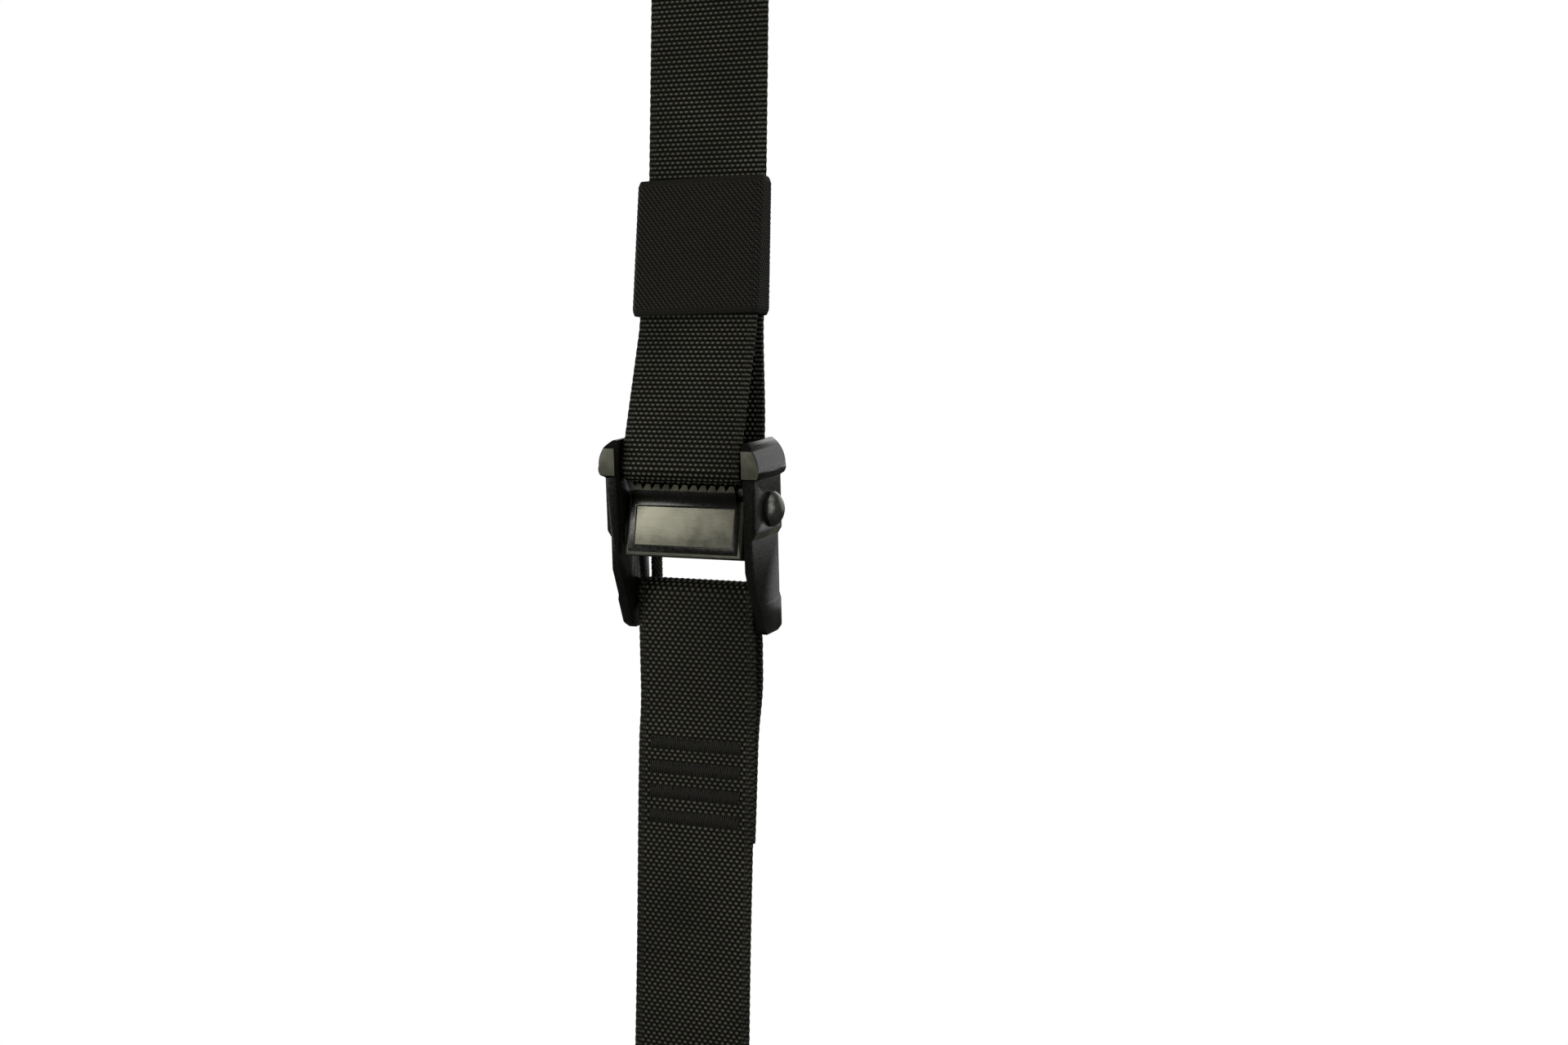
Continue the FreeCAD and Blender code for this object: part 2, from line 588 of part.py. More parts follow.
def anchor_path():
    """The anchor strap: fold end, round the buckle's bar, down the front layer, round the lower eye, fold end."""
    bar_z = on_strap(BAR_Y, BAR_Z)[1]
    meet_z = AXLE_Z - ANCHOR_TACK_DROP + TACK_START
    fold_end = AXLE_Z - ANCHOR_TACK_DROP - (TACK_ROWS - 1) * TACK_PITCH - TACK_END
    eye_z = AXLE_Z - LOWER_EYE_DROP
    neck_z = eye_z + EYE_NECK
    lower_fold = neck_z + TACK_START + (TACK_ROWS - 1) * TACK_PITCH + TACK_END
    bend_r = NECK_RADIUS
    return [
        (BACK_LAYER_Y, fold_end, 0.0, 1),
        (BACK_LAYER_Y + bend_r, meet_z, bend_r, -1),
        (0.0, bar_z, BAR_RADIUS + WEB_OFFSET, 1),
        (FRONT_LAYER_Y - bend_r, meet_z, bend_r, -1),
        (FRONT_LAYER_Y - bend_r, neck_z, bend_r, -1),
        (0.0, eye_z, EYE_RADIUS + WEB_THICK / 2, 1),
        (BACK_LAYER_Y + bend_r, neck_z, bend_r, -1),
        (BACK_LAYER_Y, lower_fold, 0.0, 1),
    ]


def anchor_webbing():
    """The buckle loop's back layer is drawn in at both edges, where the tether passes into the loop."""
    webbing = band(anchor_path(), WEB_WIDTH, WEB_THICK)
    foot, top = AXLE_Z + BAR_Z - CORD_NOTCH_DROP, AXLE_Z + BAR_Z + CORD_NOTCH_RISE
    notch = box(CORD_NECK, HALF_WEB + 1, CORD_NOTCH_FRONT_Y, CORD_NOTCH_BACK_Y, foot, top)
    return webbing.cut(Part.makeCompound(both_sides(notch)))


def tack_rows(first_z, step, y_front, y_back):
    """Bar tacks on the front and back of two sewn layers."""
    rows = []
    for k in range(TACK_ROWS):
        z = first_z + k * step
        for y0, y1 in ((y_front - TACK_PROUD, y_front), (y_back, y_back + TACK_PROUD)):
            rows.append(box(-TACK_WIDTH / 2, TACK_WIDTH / 2, y0, y1, z - TACK_HEIGHT / 2, z + TACK_HEIGHT / 2))
    return rows


# --- elastic keeper ------------------------------------------------------------------------------------------
def flat_ring(half_width, y_front, y_back, z, corner):
    """A rounded rectangle in a level plane."""
    r = min(corner, (y_back - y_front) / 2 - 0.01)
    edges = []
    centres = [
        (half_width - r, y_front + r, 270.0),
        (half_width - r, y_back - r, 0.0),
        (-half_width + r, y_back - r, 90.0),
        (-half_width + r, y_front + r, 180.0),
    ]
    points = []
    for cx, cy, start in centres:
        at = [math.radians(start + turn) for turn in (0, 45, 90)]
        points.append([Vector(cx + r * math.cos(a), cy + r * math.sin(a), z) for a in at])
    for k, (a, m, b) in enumerate(points):
        edges.append(Part.Arc(a, m, b).toShape())
        edges.append(Part.LineSegment(b, points[(k + 1) % 4][0]).toShape())
    return Part.Wire(edges)


def keeper_faces():
    """Inside faces of the keeper: back, front at its lower edge, front at its upper edge."""
    back = FRONT_LAYER_Y + WEB_THICK / 2 + KEEPER_BACK_ROOM
    foot = FRONT_LAYER_Y - TAIL_STAND_OFF - WEB_THICK / 2 - KEEPER_FOOT_ROOM
    head = FRONT_LAYER_Y - LAYER_STEP - WEB_THICK / 2 - KEEPER_FRONT_ROOM
    return back, foot, head


def keeper_shell(grow):
    """The keeper's inside, or its outside when grown by the elastic's thickness."""
    back, foot, head = keeper_faces()
    z0 = AXLE_Z + KEEPER_RISE
    z1 = z0 + KEEPER_HEIGHT
    half = HALF_WEB + KEEPER_SIDE_ROOM + grow
    over = 0.0 if grow else 1.0
    lean = (head - foot) / KEEPER_HEIGHT * over
    tube = Part.makeLoft(
        [
            flat_ring(half, foot - lean - grow, back + grow, z0 - over, KEEPER_CORNER + grow),
            flat_ring(half, head + lean - grow, back + grow, z1 + over, KEEPER_CORNER + grow),
        ],
        True,
        True,
    )
    depth = 2 * CORD_RADIUS + CORD_CLEAR
    rings = []
    for z, share in ((z0 - over, 1.0), (z0 + 0.6 * POCKET_HEIGHT, 1.0), (z0 + POCKET_HEIGHT, 0.15)):
        width = POCKET_WIDTH / 2 + grow
        rings.append(flat_ring(width, back - 1.0, back + grow + share * depth, z, 2.2))
    return tube.fuse(Part.makeLoft(rings, True, True))


def elastic_keeper():
    return keeper_shell(ELASTIC_THICK).cut(keeper_shell(0.0)).removeSplitter()


def keeper_stitches():
    """The tack that holds the tether's ends under the elastic, and the row that closes the elastic's lap."""
    back, foot, head = keeper_faces()
    z0 = AXLE_Z + KEEPER_RISE
    outer = back + ELASTIC_THICK
    pocket_outer = outer + 2 * CORD_RADIUS + CORD_CLEAR
    half = POCKET_WIDTH / 2 - 1.5
    tack = box(-half, half, pocket_outer, pocket_outer + TACK_PROUD, z0 + 4.5, z0 + 8.0)
    lap_x = HALF_WEB - LAP_INSET
    lap = box(lap_x, lap_x + 1.6, outer, outer + TACK_PROUD, z0 + 2, z0 + KEEPER_HEIGHT - 2)
    return tack, lap


# --- tether cord ---------------------------------------------------------------------------------------------
def tether_route():
    """Points of the cord's route: from one sewn end, down to the loop, along inside it below the bar, and back."""
    strap_back = FRONT_LAYER_Y + WEB_THICK / 2
    lie = strap_back + CORD_RADIUS + CORD_CLEAR
    z_keeper = AXLE_Z + KEEPER_RISE
    under_bar = AXLE_Z + BAR_Z - BAR_RADIUS
    half = [
        (3.2, lie, z_keeper + 9.0),
        (3.5, lie + 0.1, z_keeper - 3.0),
        (17.4, lie + 2.0, under_bar + 16.8),
        (18.2, 7.0, under_bar + 4.6),
        (15.6, 0.7, under_bar - 6.0),
        (5.0, 0.0, under_bar - 6.8),
    ]
    return [Vector(-x, y, z) for x, y, z in half] + [Vector(x, y, z) for x, y, z in reversed(half)]


def tether_cord():
    """A round tube along straight runs joined by tangent arcs."""
    route = tether_route()
    edges, at = [], route[0]
    for a, b, c in zip(route, route[1:], route[2:]):
        into, out = (b - a), (c - b)
        turn = into.getAngle(out)
        shorter = min(into.Length, out.Length)
        cut = 0.45 * shorter
        radius = cut / math.tan(turn / 2)
        print(f"cord bend: {math.degrees(turn):.0f} degrees, radius {radius:.1f}")
        start = b - Vector(into).normalize() * cut
        end = b + Vector(out).normalize() * cut
        inside = (start + end) * 0.5 - b
        middle = b + Vector(inside).normalize() * (radius / math.cos(turn / 2) - radius)
        edges.append(Part.LineSegment(at, start).toShape())
        edges.append(Part.Arc(start, middle, end).toShape())
        at = end
    edges.append(Part.LineSegment(at, route[-1]).toShape())
    path = Part.Wire(edges)
    section = Part.Wire(Part.makeCircle(CORD_RADIUS, route[0], route[1] - route[0]))
    tube = path.makePipeShell([section], True, False)
    print(f"cord length {path.Length:.1f}, volume share {tube.Volume / (path.Length * math.pi * CORD_RADIUS ** 2):.4f}")
    return tube


def main():
    os.makedirs("parts", exist_ok=True)
    print(f"axle at y {AXLE_Y:.3f}, z {AXLE_Z:.3f}; bar at z {on_strap(BAR_Y, BAR_Z)[1]:.3f}")
    spring, slot = torsion_spring()
    export("buckle_frame", set_on_strap(buckle_frame()))
    export("cam_lever", set_on_strap(cam_lever()))
    export("badge_plate", set_on_strap(badge_plate()))
    export("axle_rivet", set_on_strap(axle_rivet(slot)))
    export("torsion_spring", set_on_strap(spring))
    export("load_strap", band(strap_path(), WEB_WIDTH, WEB_THICK))
    export("anchor_strap", anchor_webbing())
    export("elastic_keeper", elastic_keeper())
    export("tether_cord", tether_cord())
    tack, lap = keeper_stitches()
    export("tether_tack", tack)
    export("keeper_lap_stitches", lap)
    front, back = FRONT_LAYER_Y - WEB_THICK / 2, BACK_LAYER_Y + WEB_THICK / 2
    export("upper_eye_tacks", *tack_rows(-EYE_NECK - TACK_START, -TACK_PITCH, front, back))
    export("buckle_loop_tacks", *tack_rows(AXLE_Z - ANCHOR_TACK_DROP, -TACK_PITCH, front, back))
    lower_neck = AXLE_Z - LOWER_EYE_DROP + EYE_NECK
    export("lower_eye_tacks", *tack_rows(lower_neck + TACK_START, TACK_PITCH, front, back))


main()
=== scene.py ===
import json
import math

import bmesh
import bpy
import numpy as np
from mathutils import Matrix, Vector


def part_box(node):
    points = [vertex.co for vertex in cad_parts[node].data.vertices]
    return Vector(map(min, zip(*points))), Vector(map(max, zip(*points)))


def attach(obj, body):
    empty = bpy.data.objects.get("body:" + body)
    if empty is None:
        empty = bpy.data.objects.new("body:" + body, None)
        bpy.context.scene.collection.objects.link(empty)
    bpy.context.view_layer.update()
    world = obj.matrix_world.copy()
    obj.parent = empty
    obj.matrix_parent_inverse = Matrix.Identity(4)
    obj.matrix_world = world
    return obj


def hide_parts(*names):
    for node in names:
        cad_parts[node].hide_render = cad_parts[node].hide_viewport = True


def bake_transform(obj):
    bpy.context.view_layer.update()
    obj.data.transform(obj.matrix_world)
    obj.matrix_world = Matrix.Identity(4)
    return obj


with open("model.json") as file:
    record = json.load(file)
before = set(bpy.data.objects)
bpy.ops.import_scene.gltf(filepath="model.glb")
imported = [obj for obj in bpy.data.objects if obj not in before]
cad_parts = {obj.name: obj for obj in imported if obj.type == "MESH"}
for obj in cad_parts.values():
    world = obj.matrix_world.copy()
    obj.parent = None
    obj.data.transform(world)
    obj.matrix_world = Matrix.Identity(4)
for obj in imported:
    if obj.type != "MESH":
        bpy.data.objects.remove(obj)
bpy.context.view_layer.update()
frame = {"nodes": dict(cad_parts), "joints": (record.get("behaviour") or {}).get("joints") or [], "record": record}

MM = 0.001               # sizes below are in millimetres

MATH = "ShaderNodeMath"
MIX = "ShaderNodeMix"
NOISE = "ShaderNodeTexNoise"
RANGE = "ShaderNodeMapRange"     # value, from low, from high, to low, to high
SPLIT = "ShaderNodeSeparateXYZ"
COMBINE = "ShaderNodeCombineXYZ"
VECTOR = "ShaderNodeVectorMath"
NAMED = "GeometryNodeInputNamedAttribute"
BUMP = "ShaderNodeBump"

# --- webbing -----------------------------------------------------------------------------
WEB_WIDTH = 38.0
WEB_THICK = 1.34         # between the middles of the two faces' relief
WEB_LAYER = 1.72         # from the middle of one sewn layer to the next
WEB_OFFSET = 0.95        # from the casting to the middle of the webbing that bears on it
NECK_RADIUS = 25.0
EYE_RADIUS = 9.8         # to the middle of the webbing
EYE_NECK = 28.0
EDGE_REACH = 0.5         # the rounded edge of the webbing
SELVEDGE = 2.1           # width of the knitted edge
LOAD_WEAVE = (0.845, 1.35)      # half a warp repeat across, one pick along
ANCHOR_WEAVE = (0.95, 1.26)
WEAVE_RELIEF = 0.36
KNIT_RELIEF = 0.35       # of the body's relief, along the knitted edges

# --- bar tacks ---------------------------------------------------------------------------
TACK_ROWS = 4
TACK_PITCH = 7.4
TACK_WIDTH = 29.5
TACK_HEIGHT = 4.0
TACK_START = 7.0         # from where two layers meet to the middle of the first row
TACK_END = 6.0
TACK_SINK = 0.22         # the threads draw the webbing in by this much
THREAD_RADIUS = 0.2
THREAD_PITCH = 0.36

# --- buckle, relative to the axle --------------------------------------------------------
BUCKLE_PITCH = math.radians(6.0)
PAD_TILT = math.radians(14.0)
PAD_CENTRE = (-9.8, -4.8)
CHAMFER_DEPTH = 0.75
CHAMFER_TOP = 7.5        # above this, the rim lies under the webbing, unlit, and keeps its dark coat; below it, the rim takes a painted highlight
BRIDGE_BACK_FOOT = (0.4, 12.0, 2.6)
BRIDGE_FRONT_FOOT = (-7.0, 12.0, 2.6)
BRIDGE_FRONT_HEAD = (-6.8, 18.3, 1.5)
BAR_RADIUS = 3.0
ANCHOR_TACK_DROP = 71.9
TAIL_STAND_OFF = 4.8
TAIL_END_INSET = 1.5
WELD = 0.002             # points closer than this are one
FLAT_WITHIN = math.radians(0.6)
SHARP_FROM = math.radians(32.0)
HALF_GAP = 20.4          # from the middle to a side plate's inner face
SHOULDER_Z = 10.2
LEDGE_Z = -6.0
LEDGE_RUN = 1.9
TOOTH_PITCH = 3.0
TOOTH_FRONT_Y = -9.3
TOOTH_BACK_Y = -1.0
TOOTH_ROW = 1.8          # how far back the fronts of the front row reach
TOOTH_FOOT_Z = 5.8
WEB_UNDER_BRIDGE = 8.45  # middle of the webbing that runs below the bridge
LEAN = 1.1               # how far the load strap drifts to +X on its way down to the buckle
LEAN_DROP = (172.0, 204.0)
PINCH = 0.235            # share of its width that the loop's back loses where the cord passes
PINCH_DROP = 31.0
PINCH_REACH = 4.6
SWAY = 0.6
ASKEW = 0.9
WEB_PRESS = 1.25         # how far the webbing is pressed into the notches between the teeth

# --- keeper and tether -------------------------------------------------------------------
ELASTIC_THICK = 1.1
ELASTIC_RIB = 0.54       # half a twill rib, across the ribs
ELASTIC_HEM = 1.9
KEEPER_HALF = 19.3       # inside half width
KEEPER_BACK = 0.24       # inside faces
KEEPER_FOOT_FRONT = -8.06
KEEPER_HEAD_FRONT = -5.18
KEEPER_CORNER = 0.7
KEEPER_BOW = 0.8         # how far the middle of the sleeve's front stands out
POCKET_DEPTH = 3.85
POCKET_SIDES = (5.6, 10.5)       # the bulge falls away between these, across and upwards
POCKET_TOP = (9.6, 19.0)
PATCH_HALF = 8.5
PATCH_RISE = 6.2
PATCH_THREADS = 90
LAP_X = 16.8
CORD_DIAMETER = 3.6
BRAID_LAY = 15.6
BRAID_STRANDS = 8        # each way round

JOINTS = {joint["name"]: joint for joint in frame["joints"]}
MOUNTS = {mount["name"]: mount for mount in frame["record"]["mounts"]}
AXLE = Vector(JOINTS["lever_pivot"]["pos_m"]) / MM
LOWER_EYE_Z = MOUNTS["lower_eye"]["pos_m"][2] / MM
BAR_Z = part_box("anchor_strap")[1].z / MM - BAR_RADIUS - 0.15 - 1.6
KEEPER_FOOT_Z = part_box("elastic_keeper")[0].z / MM
KEEPER_HEAD_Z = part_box("elastic_keeper")[1].z / MM
FRONT_Y = -WEB_LAYER / 2
BACK_Y = WEB_LAYER / 2
rng = np.random.default_rng(7)


# --- node trees and meshes ---------------------------------------------------------------
def add(tree, kind, inputs=(), **settings):
    """Adds a node with its settings, and links or sets its inputs, which are given by name or in order.

    A node among the inputs is linked by its first output in use.
    """
    node = tree.nodes.new(kind)
    for name, value in settings.items():
        setattr(node, name, value)
    for key, value in inputs.items() if isinstance(inputs, dict) else enumerate(inputs):
        if isinstance(value, bpy.types.Node):
            value = next(output for output in value.outputs if output.enabled)
        if isinstance(value, bpy.types.NodeSocket):
            tree.links.new(value, node.inputs[key])
        else:
            node.inputs[key].default_value = value
    return node


def tint(code):
    """A hex sRGB colour as the linear values that a shader takes."""
    channels = [int(code[k:k + 2], 16) / 255 for k in (1, 3, 5)]
    return [c / 12.92 if c <= 0.04045 else ((c + 0.055) / 1.055) ** 2.4 for c in channels] + [1.0]


def new_material(name):
    """An empty material, its tree, and the object's own coordinates."""
    material = bpy.data.materials.new(name)
    material.use_nodes = True
    material.node_tree.nodes.clear()
    place = add(material.node_tree, "ShaderNodeTexCoord").outputs["Object"]
    return material, material.node_tree, place


def end_material(tree, **inputs):
    """Ends a material with a principled shader. Numbers and colours are set on its own sockets."""
    named = {name.replace("_", " "): value for name, value in inputs.items()}
    shader = add(tree, "ShaderNodeBsdfPrincipled", named)
    add(tree, "ShaderNodeOutputMaterial", {"Surface": shader})


def new_tree(name, sockets):
    """A geometry tree with named inputs for its sizes."""
    tree = bpy.data.node_groups.new(name, "GeometryNodeTree")
    tree.interface.new_socket("Geometry", in_out="INPUT", socket_type="NodeSocketGeometry")
    for label, kind in sockets.items():
        tree.interface.new_socket(label, in_out="INPUT", socket_type="NodeSocket" + kind)
    tree.interface.new_socket("Geometry", in_out="OUTPUT", socket_type="NodeSocketGeometry")
    return tree, add(tree, "NodeGroupInput").outputs


def end_tree(tree, geometry, material):
    """Realizes the instances, gives them their material and ends the tree."""
    whole = add(tree, "GeometryNodeRealizeInstances", (geometry,))
    painted = add(tree, "GeometryNodeSetMaterial", {"Geometry": whole, "Material": material})
    add(tree, "NodeGroupOutput", (painted,))


def end_relief(tree, given, rise):
    """Moves the surface out along its normals by that much, and ends the tree."""
    normal = add(tree, "GeometryNodeInputNormal")
    push = add(tree, VECTOR, {0: normal, "Scale": rise}, operation="SCALE")
    moved = add(tree, "GeometryNodeSetPosition", {"Geometry": given["Geometry"], "Offset": push})
    end_tree(tree, moved, given["Material"])
    return tree


def grow(piece, tree, values):
    """Runs a geometry tree on a piece and keeps the result as its plain mesh."""
    modifier = piece.modifiers.new(tree.name, "NODES")
    modifier.node_group = tree
    for item in tree.interface.items_tree:
        if item.in_out == "INPUT" and item.name in values:
            modifier[item.identifier] = values[item.name]
    keep_evaluated(piece)


def keep_evaluated(piece):
    """Applies every modifier on a piece."""
    graph = bpy.context.evaluated_depsgraph_get()
    final = piece.evaluated_get(graph)
    mesh = bpy.data.meshes.new_from_object(final, preserve_all_data_layers=True, depsgraph=graph)
    piece.modifiers.clear()
    piece.data = mesh
    mesh.polygons.foreach_set("use_smooth", [True] * len(mesh.polygons))


def new_piece(name, points, faces=(), **attributes):
    """A mesh object from points in millimetres, with its faces outwards and named values on its points."""
    mesh = bpy.data.meshes.new(name)
    mesh.from_pydata((np.asarray(points) * MM).tolist(), [], faces)
    for label, values in attributes.items():
        values = np.asarray(values, dtype=np.float32)
        kind, field = ("FLOAT_VECTOR", "vector") if values.ndim == 2 else ("FLOAT", "value")
        mesh.attributes.new(label, kind, "POINT").data.foreach_set(field, values.ravel())
    if len(faces):
        shell = bmesh.new()
        shell.from_mesh(mesh)
        bmesh.ops.recalc_face_normals(shell, faces=shell.faces)
        shell.to_mesh(mesh)
        shell.free()
        mesh.polygons.foreach_set("use_smooth", [True] * len(mesh.polygons))
    piece = bpy.data.objects.new(name, mesh)
    bpy.context.scene.collection.objects.link(piece)
    return piece


def grid_faces(rows, columns, wrap_rows=False):
    """Quads between rows of points that each close on themselves."""
    first = np.arange(rows if wrap_rows else rows - 1)[:, None] * columns
    second = (first + columns) % (rows * columns)
    here = np.arange(columns)
    beside = (here + 1) % columns
    quads = np.stack([first + here, first + beside, second + beside, second + here], axis=-1)
    return quads.reshape(-1, 4).tolist()


def smooth(values, low, high):
    """0 below low, 1 above high, and an easy rise between."""
    t = np.clip((values - low) / (high - low), 0.0, 1.0)
    return t * t * (3 - 2 * t)


# --- camera, at eye level, a little to the right of the strap's face ---------------------
VIEW_AZIMUTH = math.radians(23.0)
VIEW_ELEVATION = math.radians(3.0)
VIEW_ROLL = math.radians(1.0)
VIEW_DISTANCE = 590.0
VIEW_LENS = 45.7
VIEW_RIGHT = 25.6        # the view's centre, from the axle
VIEW_DOWN = 4.4
FLOOR_RADIUS = 2200.0
FLOOR_Z = -1300.0


def towards(azimuth, elevation):
    """The unit vector from the object to a place round it."""
    return Vector((math.sin(azimuth) * math.cos(elevation), -math.cos(azimuth) * math.cos(elevation),
                   math.sin(elevation)))


def set_camera():
    right = Vector((math.cos(VIEW_AZIMUTH), math.sin(VIEW_AZIMUTH), 0))
    centre = AXLE + right * VIEW_RIGHT - Vector((0, 0, VIEW_DOWN))
    back = towards(VIEW_AZIMUTH, VIEW_ELEVATION)
    data = bpy.data.cameras.new("camera")
    data.lens = VIEW_LENS
    data.clip_start = 0.01
    camera = bpy.data.objects.new("camera", data)
    bpy.context.scene.collection.objects.link(camera)
    turn = back.to_track_quat("Z", "Y").to_matrix() @ Matrix.Rotation(VIEW_ROLL, 3, "Z")
    camera.matrix_world = Matrix.Translation((centre + back * VIEW_DISTANCE) * MM) @ turn.to_4x4()
    bpy.context.scene.camera = camera


def area_light(name, azimuth, elevation, distance, width, height, power, colour="#ffffff"):
    """A softbox round the buckle, in metres."""
    data = bpy.data.lights.new(name, "AREA")
    data.shape = "RECTANGLE"
    data.size, data.size_y = width, height
    data.energy = power
    data.color = tint(colour)[:3]
    lamp = bpy.data.objects.new(name, data)
    bpy.context.scene.collection.objects.link(lamp)
    way = towards(math.radians(azimuth), math.radians(elevation))
    turn = way.to_track_quat("Z", "Y").to_matrix().to_4x4()
    lamp.matrix_world = Matrix.Translation(AXLE * MM + way * distance) @ turn


def set_studio():
    """White surroundings as the camera sees them, which light the object only dimly, and softboxes round it."""
    scene = bpy.context.scene
    scene.view_settings.view_transform = "Standard"
    world = bpy.data.worlds.new("studio")
    scene.world = world
    world.use_nodes = True
    tree = world.node_tree
    tree.nodes.clear()
    seen = add(tree, "ShaderNodeBackground", {"Color": tint("#ffffff"), "Strength": 1.0})
    dim = add(tree, "ShaderNodeBackground", {"Color": tint("#fbfaf6"), "Strength": 0.06})
    ray = add(tree, "ShaderNodeLightPath")
    both = add(tree, "ShaderNodeMixShader", (ray.outputs["Is Camera Ray"], dim, seen))
    add(tree, "ShaderNodeOutputWorld", {"Surface": both})
    area_light("softbox_front", -50, 2, 1.2, 0.6, 0.6, 6, "#fffdf4")
    area_light("softbox_top", 75, 55, 1.1, 0.8, 0.6, 2.4)
    area_light("softbox_right", 66, 8, 1.0, 0.45, 0.9, 3)
    area_light("softbox_left", -105, 5, 1.1, 0.35, 0.9, 4)
    area_light("softbox_back_right", 152, 13, 1.2, 0.6, 0.8, 1.4)
    area_light("softbox_back", 190, 20, 1.2, 0.8, 0.8, 3)

    angles = np.linspace(0, 2 * math.pi, 97)[:-1]
    rim = [(FLOOR_RADIUS * math.cos(a), FLOOR_RADIUS * math.sin(a), FLOOR_Z) for a in angles]
    floor = new_piece("floor", rim, [tuple(range(len(rim)))])
    floor.visible_diffuse = False
    floor.visible_glossy = False
    paper, tree, _ = new_material("pale paper floor")
    pale = tint("#ececea")
    end_material(tree, Roughness=0.9, Base_Color=pale, Emission_Color=pale, Emission_Strength=0.5)
    floor.data.materials.append(paper)


# --- tether cord -------------------------------------------------------------------------
def tether_points():
    """The cord's route: from one sewn end, down to the loop, along inside it below the bar, and back."""
    half = [
        (3.2, 1.99, -161.7), (3.5, 2.09, -173.7), (5.96, 2.43, -185.4), (14.82, 3.64, -227.7),
        (17.4, 3.99, -240.0), (18.2, 7.0, -252.2), (15.6, 0.7, -262.8), (5.0, 0.0, -263.6),
    ]
    return [(-x, y, z) for x, y, z in half] + half[::-1]


def spline_line(points, step):
    """Evenly spaced points on the smooth line that those control points pull."""
    data = bpy.data.curves.new("route", "CURVE")
    data.dimensions = "3D"
    spline = data.splines.new("NURBS")
    spline.points.add(len(points) - 1)
    for point, place in zip(spline.points, points):
        point.co = (*place, 1.0)
    spline.order_u = 3
    spline.use_endpoint_u = True
    spline.resolution_u = 24
    route = bpy.data.objects.new("route", data)
    line = bpy.data.meshes.new_from_object(route)
    places = np.array([vertex.co[:] for vertex in line.vertices])
    bpy.data.objects.remove(route)
    run = np.concatenate([[0], np.cumsum(np.linalg.norm(np.diff(places, axis=0), axis=1))])
    at = np.linspace(0, run[-1], round(run[-1] / step) + 1)
    return at, np.stack([np.interp(at, run, places[:, k]) for k in range(3)], axis=1)


def side_vectors(line):
    """Two vectors across the line at each of its points, which don't twist along it."""
    ahead = np.gradient(line, axis=0)
    ahead /= np.linalg.norm(ahead, axis=1)[:, None]
    across = [np.cross(ahead[0], (0.0, 1.0, 0.0))]
    for way in ahead[1:]:
        side = across[-1] - way * np.dot(across[-1], way)
        across.append(side / np.linalg.norm(side))
    across = np.array(across)
    across[0] /= np.linalg.norm(across[0])
    return ahead, across, np.cross(ahead, across)


def tube_around(line, right, up, half_width, half_thick, sides):
    """Rings round a line, and the faces of the closed tube that they make."""
    angle = np.arange(sides) * 2 * math.pi / sides
    ring = (half_width * np.cos(angle)[None, :, None] * right[:, None, :]
            + half_thick * np.sin(angle)[None, :, None] * up[:, None, :])
    faces = grid_faces(len(line), sides)
    faces += [tuple(range(sides))[::-1], tuple(range((len(line) - 1) * sides, len(line) * sides))]
    return (line[:, None, :] + ring).reshape(-1, 3), faces


def joined(parts):
    """Several (points, faces) meshes as one."""
    points, faces, count = [], [], 0
    for part_points, part_faces in parts:
        points.append(part_points)
        faces += [tuple(k + count for k in face) for face in part_faces]
        count += len(part_points)
    return np.concatenate(points), faces


def braided_cord(material):
    """Eight flat strands each way round a core, which pass over and under each other in turn."""
    run, line = spline_line(tether_points(), BRAID_LAY / 40)
    ahead, across, up = side_vectors(line)
    outer = CORD_DIAMETER / 2
    strand_thick, strand_width, weave_depth = 0.25, 0.45, 0.19
    middle = outer - strand_thick - weave_depth
    parts, along = [], []
    for way in (1, -1):
        for k in range(BRAID_STRANDS):
            angle = 2 * math.pi * (k / BRAID_STRANDS + way * run / BRAID_LAY)
            rise = middle + way * weave_depth * np.cos(2 * math.pi * BRAID_STRANDS * run / BRAID_LAY)
            out = np.cos(angle)[:, None] * across + np.sin(angle)[:, None] * up
            strand = line + out * rise[:, None]
            track = np.gradient(strand, axis=0)
            track /= np.linalg.norm(track, axis=1)[:, None]
            side = np.cross(track, out)
            side /= np.linalg.norm(side, axis=1)[:, None]
            parts.append(tube_around(strand, side, np.cross(side, track), strand_width, strand_thick, 6))
            fold = np.arange(6) / 6
            number = np.full(6 * len(run), float(k))
            along.append(np.stack([np.tile(fold, len(run)), np.repeat(run, 6), number], 1))
    core = slice(None, None, 4)
    parts.append(tube_around(line[core], across[core], up[core], middle - 0.1, middle - 0.1, 12))
    along.append(np.zeros((len(parts[-1][0]), 3)))
    points, faces = joined(parts)
    cord = new_piece("tether_braid", points, faces, strand=np.concatenate(along))
    cord.data.materials.append(material)
    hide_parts("tether_cord")
    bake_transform(cord)


